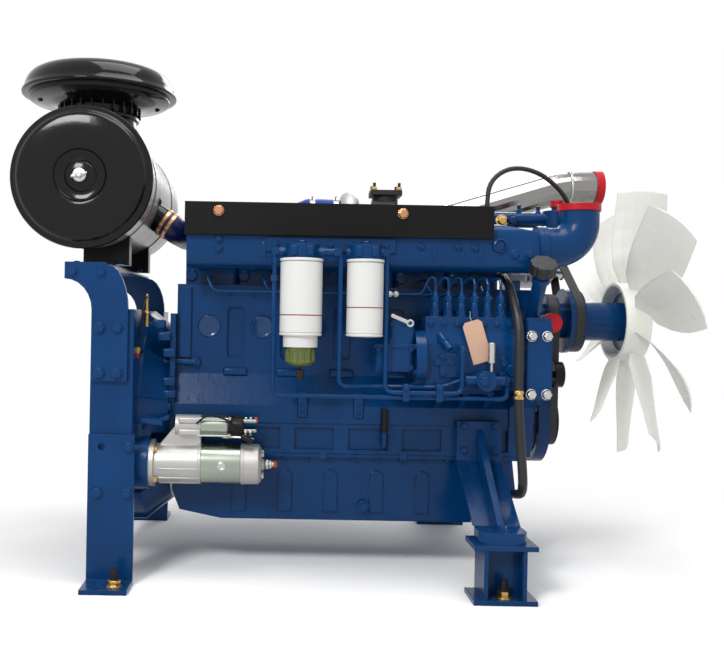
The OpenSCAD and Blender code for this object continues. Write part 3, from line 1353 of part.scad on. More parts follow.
// Oil filler neck and its turning cap
fill_run = 43;
fill_back = 108;
fill_x = block_x1 + fill_run;
fill_y = fill_back - bulge_y;
fill_r = 19;
fill_len = 150;
fill_tilt = 37;
fill_bore = 14;
cap_r = 35;
cap_h = 30;
cap_lobes = 8;
cap_lobe_r = 6;
module on_neck() translate([fill_x, fill_y, bulge_z1]) rotate([fill_tilt, 0, 0]) children();
module oil_filler_neck() color("royalblue") difference() {
    on_neck() {
        rod_z(fill_r, -fill_r, fill_len);
        rod_z(fill_r + cap_lip, fill_len - cap_h, fill_len - cap_h / 2);
    }
    on_neck() rod_z(fill_bore + run_gap, fill_len - cap_h, fill_len + cut);
    box(fill_x - 2 * fill_r, fill_x + 2 * fill_r, fill_y - 2 * fill_r, fill_y + 2 * fill_r,
        bulge_z1 - 2 * fill_r, bulge_z1);
}
module oil_filler_cap() color("#303038") on_neck() {
    rod_z(fill_bore, fill_len - fill_bore, fill_len + air_gap);
    difference() {
        rod_z(cap_r, fill_len + air_gap, fill_len + cap_h);
        for (i = [0 : cap_lobes - 1]) rotate([0, 0, 360 * i / cap_lobes])
            translate([cap_r + cap_lobe_r / 2, 0, 0]) rod_z(cap_lobe_r, fill_len, fill_len + cap_h + cut);
    }
}

// Oil cooler cover and filter head on the far side of the block
cooler_x0 = cylinder_x(0);
cooler_x1 = cylinder_x(cylinder_count - 2);
cooler_z0 = ledge_z + bolt_head;
cooler_z1 = plug_z + plug_r + 2 * bolt_head;
cooler_t = 40;
oil_head_x = cylinder_x(1);
oil_head_w = 260;
oil_head_t = 130;
oil_can_r = 54;
oil_can_h = 190;
oil_can_gap = 130;
module oil_cooler() color("royalblue") {
    soft_plate_y(cooler_x0, cooler_x1, cooler_z0, cooler_z1, block_half, block_half + cooler_t, cooler_t / 2);
    box(oil_head_x, oil_head_x + oil_head_w, block_half + cooler_t, block_half + cooler_t + oil_head_t,
        cooler_z0 + cooler_t, cooler_z0 + 2 * cooler_t);
}

// Spin-on oil filters
module oil_filters() color("whitesmoke") for (k = [0, 1])
    translate([oil_head_x + oil_head_w / 2 + (k - 0.5) * oil_can_gap,
        block_half + cooler_t + oil_head_t - oil_can_r, cooler_z0 + cooler_t])
        rotate_extrude() polygon([[0, 0], [oil_can_r, 0], [oil_can_r, can_dome - oil_can_h],
            [oil_can_r - can_dome, -oil_can_h], [0, -oil_can_h]]);

// Crankshaft: its rear flange, main journal and front nose
crank_flange_r = 60;
crank_flange_t = 24;
fly_x0 = 25.4;
fly_t = 62.6;
fly_x1 = fly_x0 + fly_t;
damper_out = 38;
damper_x0 = front_x + damper_out;
damper_t = 37;
module crankshaft() color("silver") {
    rod_x(crank_flange_r, fly_x1, fly_x1 + crank_flange_t);
    rod_x(journal_r, fly_x1 + crank_flange_t, block_x1);
    rod_x(nose_bore, block_x1, damper_x0);
}
damper_gap = 3;
module crank_damper() color("royalblue") turned_x([[0, damper_x0], [damper_r - 2 * can_edge, damper_x0],
    [damper_r - 2 * can_edge, damper_x0 + damper_gap], [damper_r - can_edge, damper_x0 + damper_gap],
    [damper_r - can_edge, damper_x0], [damper_r, damper_x0], [damper_r, damper_x0 + damper_t - damper_gap],
    [damper_r - can_edge, damper_x0 + damper_t], [0, damper_x0 + damper_t]]);
crank_pulley_x0 = damper_x0 + damper_t;
module crank_pulley() color("#202020") {
    grooved_pulley(crank_pulley_r, belt_a_x0);
    rod_x(nose_bore, crank_pulley_x0, belt_a_x0);
}

// Flywheel with its coupling recess, bolt holes and the toothed ring gear on its rim
gear_h = 16;
gear_w = 28;
fly_r = ring_gear_r - gear_h;
coupling_r = 233.4;
coupling_depth = 12;
coupling_pcd = 438.15;
coupling_holes = 8;
coupling_hole_r = 5;
pilot_hole_r = 35;
gear_x0 = fly_x1 - gear_w;
tooth_depth = 5;
module flywheel() color("dimgray") difference() {
    union() {
        rod_x(fly_r, fly_x0, gear_x0);
        rod_x(fly_r, gear_x0, fly_x1);
    }
    rod_x(coupling_r, fly_x0 - cut, fly_x0 + coupling_depth);
    rod_x(pilot_hole_r, fly_x0, fly_x0 + 2 * coupling_depth);
    for (i = [0 : coupling_holes - 1]) rotate([360 * i / coupling_holes, 0, 0])
        translate([0, 0, coupling_pcd / 2]) rod_x(coupling_hole_r, fly_x0, fly_x0 + 3 * coupling_depth);
}
tooth_shares = [0, 0.2, 0.5, 0.7];
module ring_gear() color("silver") difference() {
    prism_x([for (i = [0 : ring_gear_teeth - 1], k = [0 : 3])
        let (r = k == 1 || k == 2 ? ring_gear_r : ring_gear_r - tooth_depth,
             a = 360 * (i + tooth_shares[k]) / ring_gear_teeth) [r * cos(a), r * sin(a)]], gear_x0, fly_x1);
    rod_x(fly_r, gear_x0 - cut, fly_x1 + cut, $fn = 360);
}

// Dipstick with its grip
dip_rod_r = 3.95;
dip_grip_r = 9;
dip_grip_h = 65;
module dipstick() color("#202020") translate([dip_x, dip_y, 0]) {
    rod_z(dip_rod_r, dip_tube_z0 + seam_lip + air_gap, dip_tube_z1 + air_gap);
    rod_z(dip_grip_r, dip_tube_z1 + air_gap, dip_tube_z1 + dip_grip_h);
}

// Hand primer on the feed pump, pushed down against its spring
primer_rod_r = 3.95;
primer_grip_r = 10;
primer_z1 = 237;
primer_lift = 22;
module primer_handle() color("silver") translate([primer_x, feed_y, 0]) {
    rod_z(primer_rod_r, primer_z0 - primer_rod_r, primer_z0 + primer_lift);
    rod_z(primer_grip_r, primer_z0 + primer_lift, primer_z1);
}

// Speed control lever on the governor
lever_len = 50;
lever_t = 5;
lever_lean = -68;
lever_y0 = pump_y - gov_half - bolt_r;
lever_y1 = pump_y - gov_half - air_gap;
module control_lever() color("silver") translate([lever_x, 0, lever_z]) rotate([0, lever_lean, 0])
difference() {
    union() {
        rod_y(lever_pin_r + lever_t, lever_y0, lever_y1);
        box(-lever_t, lever_t, lever_y0, lever_y1 - cut, 0, lever_len);
        translate([0, 0, lever_len]) rod_y(lever_pin_r, lever_y0, lever_y1 - cut);
    }
    rod_y(lever_pin_r + run_gap, lever_y0 - cut, lever_y1 + cut);
}

cylinder_block();
lower_crankcase();
oil_pan();
cylinder_heads();
rocker_covers();
water_rail();
flywheel_housing();
timing_case();
front_support_plate();
intake_manifold();
intake_elbow();
shipping_caps();
cover_panel();
exhaust_manifold();
turbo_turbine();
turbo_compressor();
charge_air_pipe();
rubber_hoses();
injection_pump();
pump_governor();
delivery_valves();
injection_lines();
feed_pump();
fuel_filter_head();
fuel_filters();
filter_bowl();
fuel_lines();
starter_castings();
starter_motor();
air_filter_body();
air_filter_cover();
rain_cap();
air_hose();
filter_stand();
filter_saddles();
rear_legs();
front_feet();
anchor_bolts();
water_pump();
accessory_brackets();
alternator();
oil_filler_neck();
drive_belts();
oil_cooler();
oil_filters();
crankshaft();
crank_damper();
crank_pulley();
flywheel();
ring_gear();
fan_hub();
fan();
alternator_pulley();
idler_pulley();
oil_filler_cap();
wing_nut();
dipstick();
primer_handle();
control_lever();
drain_valve();
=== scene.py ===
# In-line diesel engine on its shipping feet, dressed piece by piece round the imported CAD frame.
# Metres; +X runs along the crank to the fan, -Y is the fuel pump side, +Z is up.
import math

import bmesh
import bpy
from mathutils import Matrix, Vector


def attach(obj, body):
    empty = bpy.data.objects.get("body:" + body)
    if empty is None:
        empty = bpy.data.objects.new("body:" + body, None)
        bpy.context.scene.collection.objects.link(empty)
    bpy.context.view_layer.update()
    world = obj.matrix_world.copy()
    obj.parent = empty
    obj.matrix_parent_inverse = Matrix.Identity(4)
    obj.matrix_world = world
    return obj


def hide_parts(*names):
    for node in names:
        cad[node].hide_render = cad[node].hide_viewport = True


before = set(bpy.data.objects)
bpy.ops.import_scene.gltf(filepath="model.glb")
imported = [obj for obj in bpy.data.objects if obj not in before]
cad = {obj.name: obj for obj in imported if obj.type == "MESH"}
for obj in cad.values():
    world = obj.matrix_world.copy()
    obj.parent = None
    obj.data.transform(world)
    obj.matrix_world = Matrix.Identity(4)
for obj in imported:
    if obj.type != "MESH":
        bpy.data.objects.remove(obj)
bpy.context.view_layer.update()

# The photographer's place: on the pump side, level with the block, a little left of its middle.
# The lens and the shift give the photograph's framing, and the roll its slight lean.
scene = bpy.context.scene
photo_width = 724
focal_px = 900
shift_right_px, shift_up_px = 86, -7
camera_data = bpy.data.cameras.new("camera")
camera_data.sensor_width = 36
camera_data.lens = focal_px / photo_width * camera_data.sensor_width
camera_data.shift_x = shift_right_px / photo_width
camera_data.shift_y = shift_up_px / photo_width
camera = bpy.data.objects.new("camera", camera_data)
camera.location = (0.484, -2.733, 0.281)
camera_roll = -0.018
camera.matrix_world = (Matrix.Translation(camera.location) @ Matrix.Rotation(camera_roll, 4, "Y")
                       @ Matrix.Rotation(math.radians(90), 4, "X"))
scene.collection.objects.link(camera)
scene.camera = camera
scene.view_settings.view_transform = "Standard"


def put(tree, kind, feeds=None, **settings):
    """Adds a shader node. feeds maps a socket to a value or to another node's output."""
    node = tree.nodes.new("ShaderNode" + kind)
    for key, value in settings.items():
        setattr(node, key, value)
    for key, value in (feeds or {}).items():
        if isinstance(value, bpy.types.NodeSocket):
            tree.links.new(value, node.inputs[key])
        else:
            node.inputs[key].default_value = value
    return node


# Studio: a white world that lights softly, three lamps and a pale floor under the feet.
# The floor melts into white away from the engine and keeps its shadow.
world = bpy.data.worlds.new("studio")
scene.world = world
world.use_nodes = True
sky = world.node_tree
sky.nodes.clear()
ray = put(sky, "LightPath")
seen = put(sky, "Math", {0: ray.outputs["Is Camera Ray"], 1: ray.outputs["Is Glossy Ray"]},
           operation="MAXIMUM")
seen = put(sky, "Math", {0: seen.outputs[0], 1: ray.outputs["Is Transmission Ray"]}, operation="MAXIMUM")
world_light = 0.58
strength = put(sky, "MapRange", {"Value": seen.outputs[0], "To Min": world_light, "To Max": 1.0})
background = put(sky, "Background", {"Color": (1, 1, 1, 1), "Strength": strength.outputs[0]})
sky.links.new(background.outputs[0], put(sky, "OutputWorld").inputs["Surface"])


def lamp(name, place, aim, size, power):
    """A square soft box at place, turned to aim."""
    data = bpy.data.lights.new(name, "AREA")
    data.size = size
    data.energy = power
    item = bpy.data.objects.new(name, data)
    item.location = place
    item.rotation_mode = "QUATERNION"
    item.rotation_quaternion = (Vector(aim) - Vector(place)).to_track_quat("-Z", "Y")
    scene.collection.objects.link(item)


lamp("lamp_front", (-0.9, -3.1, 2.3), (0.5, 0, 0.2), size=0.9, power=78)
lamp("lamp_top", (0.9, -0.6, 3.2), (0.6, 0, 0.2), size=2.0, power=70)
lamp("lamp_back", (1.6, 3.0, 2.2), (0.6, 0, 0.2), size=1.8, power=55)

floor_z = -0.412
floor_gap = 0.0005
engine_middle = (0.55, 0, 0)
floor_mesh = bpy.data.meshes.new("floor")
floor_mesh.from_pydata([(-9, -9, 0), (10, -9, 0), (10, 10, 0), (-9, 10, 0)], [], [(0, 1, 2, 3)])
floor = bpy.data.objects.new("floor", floor_mesh)
floor.location = (0, 0, floor_z - floor_gap)
scene.collection.objects.link(floor)
floor_paint = bpy.data.materials.new("studio_floor")
floor_paint.use_nodes = True
tree = floor_paint.node_tree
tree.nodes.clear()
where = put(tree, "TexCoord")
away = put(tree, "VectorMath", {0: where.outputs["Object"], 1: engine_middle}, operation="DISTANCE")
fade = put(tree, "MapRange", {"Value": away.outputs["Value"], "From Min": 0.75, "From Max": 2.1},
           interpolation_type="SMOOTHSTEP")
haze = put(tree, "TexNoise", {"Vector": where.outputs["Object"], "Scale": 3.0, "Detail": 4})
shade = put(tree, "MapRange", {"Value": haze.outputs[0], "To Min": 0.86, "To Max": 0.92})
matt = put(tree, "BsdfDiffuse", {"Color": shade.outputs[0], "Roughness": 0.6})
glow = put(tree, "Emission", {"Color": (1, 1, 1, 1), "Strength": 1.0})
mixed = put(tree, "MixShader", {0: fade.outputs[0], 1: matt.outputs[0], 2: glow.outputs[0]})
tree.links.new(mixed.outputs[0], put(tree, "OutputMaterial").inputs["Surface"])
floor_mesh.materials.append(floor_paint)


# Cylinder block: one deep iron casting, sprayed in glossy blue over its sandy skin.
# The groups below give every later casting its sand grain, its worn edges and its dust.
def new_group(name, inputs, outputs):
    """An empty shader group with number inputs; outputs are floats, or a vector for Normal."""
    group = bpy.data.node_groups.new(name, "ShaderNodeTree")
    for label, value in inputs.items():
        group.interface.new_socket(label, in_out="INPUT", socket_type="NodeSocketFloat").default_value = value
    for label in outputs:
        kind = "NodeSocketVector" if label == "Normal" else "NodeSocketFloat"
        group.interface.new_socket(label, in_out="OUTPUT", socket_type=kind)
    return group, group.nodes.new("NodeGroupInput"), group.nodes.new("NodeGroupOutput")


cast_skin, given, out = new_group("cast_skin", {"Grain": 0.004, "Lumps": 0.03}, ["Height", "Tone", "Pores"])
where = put(cast_skin, "TexCoord")
grain = put(cast_skin, "Math", {0: 1.0, 1: given.outputs["Grain"]}, operation="DIVIDE")
lumps = put(cast_skin, "Math", {0: 1.0, 1: given.outputs["Lumps"]}, operation="DIVIDE")
fine = put(cast_skin, "TexNoise", {"Vector": where.outputs["Object"], "Scale": grain.outputs[0],
                                   "Detail": 3.0,
                                   "Roughness": 0.55})
wide = put(cast_skin, "TexNoise", {"Vector": where.outputs["Object"], "Scale": lumps.outputs[0],
                                   "Detail": 2.0})
broad = put(cast_skin, "TexNoise", {"Vector": where.outputs["Object"], "Scale": 5.0, "Detail": 3.0})
cells = put(cast_skin, "TexVoronoi", {"Vector": where.outputs["Object"], "Scale": grain.outputs[0]})
pores = put(cast_skin, "MapRange", {"Value": cells.outputs["Distance"], "From Min": 0.0, "From Max": 0.18,
                                    "To Min": 1.0, "To Max": 0.0})
height = put(cast_skin, "Math", {0: wide.outputs[0], 1: 1.2, 2: fine.outputs[0]}, operation="MULTIPLY_ADD")
cast_skin.links.new(height.outputs[0], out.inputs["Height"])
cast_skin.links.new(broad.outputs[0], out.inputs["Tone"])
cast_skin.links.new(pores.outputs[0], out.inputs["Pores"])

worn_edge, given, out = new_group("worn_edge", {"Radius": 0.002, "Wear": 0.5}, ["Mask", "Normal"])
where = put(worn_edge, "TexCoord")
soft = put(worn_edge, "Bevel", {"Radius": given.outputs["Radius"]}, samples=4)
true_face = put(worn_edge, "NewGeometry")
likeness = put(worn_edge, "VectorMath", {0: soft.outputs[0], 1: true_face.outputs["Normal"]},
               operation="DOT_PRODUCT")
bend = put(worn_edge, "MapRange", {"Value": likeness.outputs["Value"], "From Min": 0.97, "From Max": 0.8})
patch = put(worn_edge, "TexNoise", {"Vector": where.outputs["Object"], "Scale": 38.0, "Detail": 5.0})
patch = put(worn_edge, "MapRange", {"Value": patch.outputs[0], "From Min": 0.55, "From Max": 0.68})
mask = put(worn_edge, "Math", {0: bend.outputs[0], 1: patch.outputs[0]}, operation="MULTIPLY")
mask = put(worn_edge, "Math", {0: mask.outputs[0], 1: given.outputs["Wear"]}, operation="MULTIPLY")
worn_edge.links.new(mask.outputs[0], out.inputs["Mask"])
worn_edge.links.new(soft.outputs[0], out.inputs["Normal"])

settled_dust, given, out = new_group("settled_dust", {"Amount": 0.3}, ["Mask"])
where = put(settled_dust, "TexCoord")
lie = put(settled_dust, "NewGeometry")
lie = put(settled_dust, "SeparateXYZ", {0: lie.outputs["Normal"]})
level = put(settled_dust, "MapRange", {"Value": lie.outputs["Z"], "From Min": 0.55, "From Max": 1.0})
speck = put(settled_dust, "TexNoise", {"Vector": where.outputs["Object"], "Scale": 60.0, "Detail": 6.0})
speck = put(settled_dust, "MapRange", {"Value": speck.outputs[0], "From Min": 0.4, "From Max": 0.75})
mask = put(settled_dust, "Math", {0: level.outputs[0], 1: speck.outputs[0]}, operation="MULTIPLY")
mask = put(settled_dust, "Math", {0: mask.outputs[0], 1: given.outputs["Amount"]}, operation="MULTIPLY")
settled_dust.links.new(mask.outputs[0], out.inputs["Mask"])


def group(tree, made, **values):
    """Places one of the groups, with its own values."""
    node = tree.nodes.new("ShaderNodeGroup")
    node.node_tree = made
    for key, value in values.items():
        node.inputs[key].default_value = value
    return node


def tint(tree, mask, low, high):
    """A colour that runs from low to high with the mask."""
    node = put(tree, "Mix", {"Factor": mask}, data_type="RGBA")
    for socket, value in ((node.inputs[6], low), (node.inputs[7], high)):
        if isinstance(value, bpy.types.NodeSocket):
            tree.links.new(value, socket)
        else:
            socket.default_value = (*value, 1)
    return node.outputs[2]


dust_colour = (0.32, 0.31, 0.3)
coat_rough, coat_ior = 0.06, 1.3
metal_shine = 0.5


def enamel(name, colour, grain=0.0035, depth=0.0003, rough=0.2, wear=0.5, radius=0.003,
           under=(0.09, 0.085, 0.08), lumps=0.03, coat=0.04, metal=0.0, dust=0.06, shade=0.5, shine=0.17):
    """Paint over a casting or a pressing: grain under gloss, tone drift, worn edges, dust on top."""
    made = bpy.data.materials.new(name)
    made.use_nodes = True
    tree = made.node_tree
    shader = tree.nodes["Principled BSDF"]
    skin = group(tree, cast_skin, Grain=grain, Lumps=lumps)
    edge = group(tree, worn_edge, Radius=radius, Wear=wear)
    film = group(tree, settled_dust, Amount=dust)
    base = tint(tree, skin.outputs["Tone"], colour, [c * shade for c in colour])
    base = tint(tree, edge.outputs["Mask"], base, under)
    base = tint(tree, film.outputs["Mask"], base, dust_colour)
    tree.links.new(base, shader.inputs["Base Color"])
    gloss = put(tree, "MapRange", {"Value": skin.outputs["Tone"], "From Min": 0.3, "From Max": 0.7,
                                   "To Min": rough * 0.75, "To Max": rough * 1.35})
    gloss = put(tree, "Math", {0: film.outputs["Mask"], 1: 0.5, 2: gloss.outputs[0]},
                operation="MULTIPLY_ADD")
    tree.links.new(gloss.outputs[0], shader.inputs["Roughness"])
    bump = put(tree, "Bump", {"Height": skin.outputs["Height"], "Normal": edge.outputs["Normal"],
                              "Distance": depth, "Strength": 1.0})
    tree.links.new(bump.outputs[0], shader.inputs["Normal"])
    shader.inputs["Metallic"].default_value = metal
    shader.inputs["Specular IOR Level"].default_value = metal_shine if metal else shine
    shader.inputs["Coat Weight"].default_value = coat
    shader.inputs["Coat Roughness"].default_value = coat_rough
    shader.inputs["Coat IOR"].default_value = coat_ior
    return made


def moulded(name, colour, **changes):
    """Plastic, rubber, paper: no coat, no worn edges."""
    return enamel(name, colour, **{"grain": 0.01, "depth": 0.0001, "coat": 0, "wear": 0, **changes})


def bare_metal(name, colour, **changes):
    """Plated or polished metal without paint."""
    return enamel(name, colour, **{"grain": 0.01, "depth": 0.0001, "coat": 0, "metal": 1.0, "wear": 0,
                                   **changes})


def dress(node, made):
    """Gives a CAD node that material, in every slot."""
    item = cad[node]
    item.data.materials.clear()
    item.data.materials.append(made)


def spray(node, name, **changes):
    """Dresses a CAD node in blue paint of its own grain."""
    dress(node, enamel(name, blue, **changes))


ahead, up, down, far_way = (1, 0, 0), (0, 0, 1), (0, 0, -1), (0, 1, 0)
both_sides = (-1, 1)


def standing(x, y, z=0):
    """A place at that point, upright."""
    return Matrix.Translation((x, y, z))


def facing(x, y, z, way=(0, -1, 0)):
    """A place at that point, whose own Z points that way."""
    return standing(x, y, z) @ Vector(way).to_track_quat("Z", "Y").to_matrix().to_4x4()


def turns(count, start=0.5):
    """Angles spread evenly round a circle."""
    return [math.tau * (k + start) / count for k in range(count)]


def ring_faces(rows, sides):
    """The faces between each row of points and the next."""
    return [(i * sides + k, i * sides + (k + 1) % sides, (i + 1) * sides + (k + 1) % sides,
             (i + 1) * sides + k)
            for i in range(rows) for k in range(sides)]


class Form:
    """A piece in the making: each call adds a shape, and make() turns them into one object."""

    def __init__(self):
        self.points, self.faces = [], []

    def add(self, points, faces, place=Matrix()):
        start = len(self.points)
        self.points += [place @ Vector(point) for point in points]
        self.faces += [[start + i for i in face] for face in faces]

    def take(self, form, place):
        """Adds what a bmesh holds."""
        form.verts.index_update()
        self.add([v.co.copy() for v in form.verts], [[v.index for v in f.verts] for f in form.faces], place)
        form.free()

    def turned(self, profile, place, sides=48):
        """A profile of (radius, height) turned about the place's Z."""
        ring = [(math.cos(math.tau * k / sides), math.sin(math.tau * k / sides)) for k in range(sides)]
        self.add([(r * c, r * s, h) for r, h in profile for c, s in ring],
                 ring_faces(len(profile) - 1, sides), place)

    def puck(self, r, h, place, sides=6, rim=None, top=None):
        """A disc or a nut; above rim it narrows to the radius top."""
        edge = [(r, h)] if rim is None else [(r, rim), (top, h)]
        self.turned([(0, 0), (r, 0), *edge, (0, h)], place, sides)

    def collar(self, inner, outer, half, place, sides=48, shut=False):
        """A band round a pipe; a shut one has its inside too."""
        band = [(inner, -half), (outer, -half), (outer, half), (inner, half)]
        self.turned(band + band[:1] if shut else band, place, sides)

    def block(self, low, high, edge=0.003, place=Matrix(), rounds=3):
        """A box between two corners, with rounded edges."""
        form = bmesh.new()
        bmesh.ops.create_cube(form, size=1)
        for corner in form.verts:
            corner.co = [(a + b) / 2 + c * (b - a) for a, b, c in zip(low, high, corner.co)]
        bmesh.ops.bevel(form, geom=form.edges[:], offset=edge, segments=rounds, affect="EDGES", profile=0.5)
        self.take(form, place)

    def slab(self, outline, low, high, edge=0.002, place=Matrix(), rounds=2):
        """An outline in the place's XY plane, solid from low to high along its Z, with rounded rims."""
        form = bmesh.new()
        bottom = form.faces.new([form.verts.new((x, y, low)) for x, y in outline])
        side = bmesh.ops.extrude_face_region(form, geom=[bottom])
        lifted = [v for v in side["geom"] if isinstance(v, bmesh.types.BMVert)]
        bmesh.ops.translate(form, vec=(0, 0, high - low), verts=lifted)
        level = 1e-7
        rims = [e for e in form.edges if abs(e.verts[0].co.z - e.verts[1].co.z) < level]
        bmesh.ops.bevel(form, geom=rims, offset=edge, segments=rounds, affect="EDGES", profile=0.5)
        self.take(form, place)

    def tube(self, route, radius, bend=0.02, sides=16, steps=8):
        """A round bar along a route with rounded corners."""
        most = 0.499
        corners = [Vector(p) for p in route]
        path = [corners[0]]
        for a, b, c in zip(corners, corners[1:], corners[2:]):
            start = b + (a - b).normalized() * min(bend, (a - b).length * most)
            end = b + (c - b).normalized() * min(bend, (c - b).length * most)
            path += [start * (1 - t) ** 2 + b * 2 * t * (1 - t) + end * t * t
                     for t in (k / steps for k in range(steps + 1))]
        path.append(corners[-1])
        last = len(path) - 1
        side, points = None, []
        for i, here in enumerate(path):
            way = (path[min(i + 1, last)] - path[max(i - 1, 0)]).normalized()
            side = way.orthogonal() if side is None else side
            side = (side - way * side.dot(way)).normalized()
            across = way.cross(side)
            points += [here + (side * math.cos(turn) + across * math.sin(turn)) * radius
                       for turn in (math.tau * k / sides for k in range(sides))]
        ends = [list(range(sides)), list(range(last * sides, last * sides + sides))]
        self.add(points, ring_faces(last, sides) + ends)

    def ring(self, radius, thick, place, sides=48, around=12):
        """A round wire bent into a ring about the place's Z."""
        self.turned([(radius + thick * math.cos(math.tau * k / around),
                      thick * math.sin(math.tau * k / around))
                     for k in range(around + 1)], place, sides)

    def head(self, place, r=0.009, h=0.007, washer=1.45):
        """A hexagon head on its washer."""
        w, lip = 0.002, 0.0006
        self.turned([(0, 0), (r * washer, 0), (r * washer, w * 0.7), (r * washer - lip, w), (0, w)], place,
                    32)
        self.turned([(0, w), (r, w), (r, w + h * 0.8), (r * 0.86, w + h), (0, w + h)], place, 6)

    def make(self, name, made, slot, body="engine", stands_for=(), crease=38):
        """One object of all the shapes, riding on a body."""
        weld = 1e-6
        mesh = bpy.data.meshes.new(name)
        mesh.from_pydata(self.points, [], self.faces)
        form = bmesh.new()
        form.from_mesh(mesh)
        bmesh.ops.remove_doubles(form, verts=form.verts[:], dist=weld)
        bmesh.ops.recalc_face_normals(form, faces=form.faces[:])
        form.to_mesh(mesh)
        form.free()
        mesh.shade_smooth()
        mesh.set_sharp_from_angle(angle=math.radians(crease))
        mesh.materials.append(made)
        item = bpy.data.objects.new(name, mesh)
        scene.collection.objects.link(item)
        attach(item, body)
        if stands_for:
            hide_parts(*stands_for)


blue = (0.001, 0.047, 0.17)
blue_fittings = enamel("blue_fittings", blue, grain=0.006, depth=0.0002, radius=0.0012)
spray("cylinder_block", "block_blue", grain=0.0045, depth=0.0005, radius=0.004)

# Pressed core plugs in the block's round holes, then the small lugs and bosses cast on its side.
# The two ladders of rings are the threaded holes of the pads under the block's skirt.
cylinders, pitch, first_x = 6, 0.15, 0.296
block_side, skirt_pad = -0.19, -0.2316
plug_y, plug_z = 0.187, 0.266
plug_profile = [(0, 0.0004), (0.018, 0.0006), (0.025, 0.0022), (0.0285, 0.0036), (0.0305, 0.0036),
                (0.0318, 0.0005)]
plugs = Form()
for side in both_sides:
    for i in range(cylinders):
        plugs.turned(plug_profile, facing(first_x + i * pitch, side * plug_y, plug_z, (0, side, 0)))
plugs.make("core_plugs", enamel("plug_blue", blue, grain=0.02, depth=0.0001, rough=0.12, shine=0.4),
           "blue_paint")
lugs = Form()
bar_r = 0.009
lugs.tube([(0.168, -0.2, 0.166), (0.262, -0.2, 0.163)], bar_r, sides=20)
lugs.puck(0.015, 0.0145, facing(0.259, block_side, 0.165), 48, rim=0.012, top=0.013)
for x in (0.562, 0.718):
    lugs.block((x - 0.014, -0.2315, 0.016), (x + 0.014, -0.2245, 0.09), 0.005)
    for z in (0.075, 0.052, 0.03):
        lugs.ring(0.005, 0.0016, facing(x, skirt_pad, z), 20, 8)
small_bosses = ((0.35, 0.36, 0.008), (0.42, 0.355, 0.006), (0.6, 0.36, 0.008), (0.72, 0.358, 0.007),
                (0.28, 0.36, 0.006))
for x, z, r in small_bosses:
    lugs.puck(r, 0.0045, facing(x, block_side, z), 24, rim=0.003, top=r * 0.85)
for i in range(cylinders - 1):
    x = first_x + (i + 0.5) * pitch
    lugs.block((x - 0.034, -0.199, 0.128), (x + 0.034, -0.188, 0.15), 0.006)
lugs.make("block_lugs", blue_fittings, "blue_paint")

# Lower crankcase and the pressed oil pan under it, with the rail of bolts between them.
# The front foot's plate covers the rail's edge for a short way on the pump side.
spray("lower_crankcase", "crankcase_blue", grain=0.005, depth=0.0005, radius=0.003)
dress("oil_pan", enamel("pan_blue", [c * 0.92 for c in blue], grain=0.012, depth=0.0003, rough=0.16,
                        radius=0.006))
rail_bolts, rail_start, rail_step = 14, 0.25, 0.0655
plate_from, plate_to = 0.96, 1.13
rail = Form()
for side in both_sides:
    for i in range(rail_bolts):
        x = rail_start + i * rail_step
        rail.head(facing(x, side * 0.213, -0.096, down), 0.0065, 0.005)
        if side > 0 or not plate_from < x < plate_to:
            rail.puck(0.005, 0.004, facing(x, side * 0.22, -0.078, (0, side, 0)))
for x in (0.622, 0.845):
    rail.block((x - 0.011, -0.2235, -0.098), (x + 0.011, -0.2195, -0.074), 0.0015)
rail.head(facing(0.441, 0, -0.286, down), 0.012, 0.008)
rail.head(facing(0.737, -0.219, -0.23), 0.011, 0.007)
rail.make("pan_rail_bolts", blue_fittings, "blue_paint")

# Cylinder heads and rocker covers, one to a cylinder, held down by cap nuts.
spray("cylinder_heads", "head_blue", grain=0.004, depth=0.0004)
spray("rocker_covers", "rocker_blue", grain=0.006, depth=0.0003, radius=0.008)
head_z, head_bolt_x, head_bolt_y, head_side = 0.505, 0.052, 0.13, 0.149
cap_nut = [(0, 0.61), (0.009, 0.61), (0.0125, 0.608), (0.0128, 0.594), (0.017, 0.594), (0.017, 0.591),
           (0, 0.591)]
top_bolts = Form()
for i in range(cylinders):
    x = first_x + i * pitch
    for y in (-0.054, 0.0475):
        top_bolts.turned(cap_nut, standing(x, y), 6)
    for side in both_sides:
        for end in both_sides:
            top_bolts.head(standing(x + end * head_bolt_x, side * head_bolt_y, head_z), 0.011, 0.009)
    for side in both_sides:
        top_bolts.puck(0.016, 0.007, facing(x - 0.055, side * head_side, 0.41, (0, side, 0)), 28, rim=0.004,
                       top=0.013)
top_bolts.make("head_bolts", blue_fittings, "blue_paint")

# Flywheel housing: its round flange carries a ring of stiffening lugs, and ribs stand on its side.
spray("flywheel_housing", "housing_blue", grain=0.005, depth=0.0005, radius=0.005)
spray("timing_case", "case_blue", grain=0.005, depth=0.0004, radius=0.005)
lug_circle = 0.3095
on_edge = Matrix.Rotation(math.radians(90), 4, "X")
bell = Form()
for turn in turns(12):
    bell.turned([(0, 0), (0.013, 0), (0.0125, 0.012), (0.011, 0.014), (0, 0.014)],
                facing(0.02, lug_circle * math.sin(turn), lug_circle * math.cos(turn), ahead), 24)
bell.slab([(0.112, 0.02), (0.185, 0.012), (0.185, -0.002), (0.112, 0.006)], 0.2, 0.33, 0.003, on_edge)
bell.slab([(0.112, -0.01), (0.2, 0.025), (0.2, 0.012), (0.112, -0.024)], 0.205, 0.3, 0.003, on_edge)
for x, z in ((0.175, 0.235), (0.19, 0.19), (0.19, 0.11), (0.192, 0.075), (0.18, 0.04), (0.16, 0.27)):
    bell.block((x - 0.018, -0.245, z - 0.012), (x + 0.018, -0.2, z + 0.012), 0.005)
bell.make("housing_lugs", blue_fittings, "blue_paint")

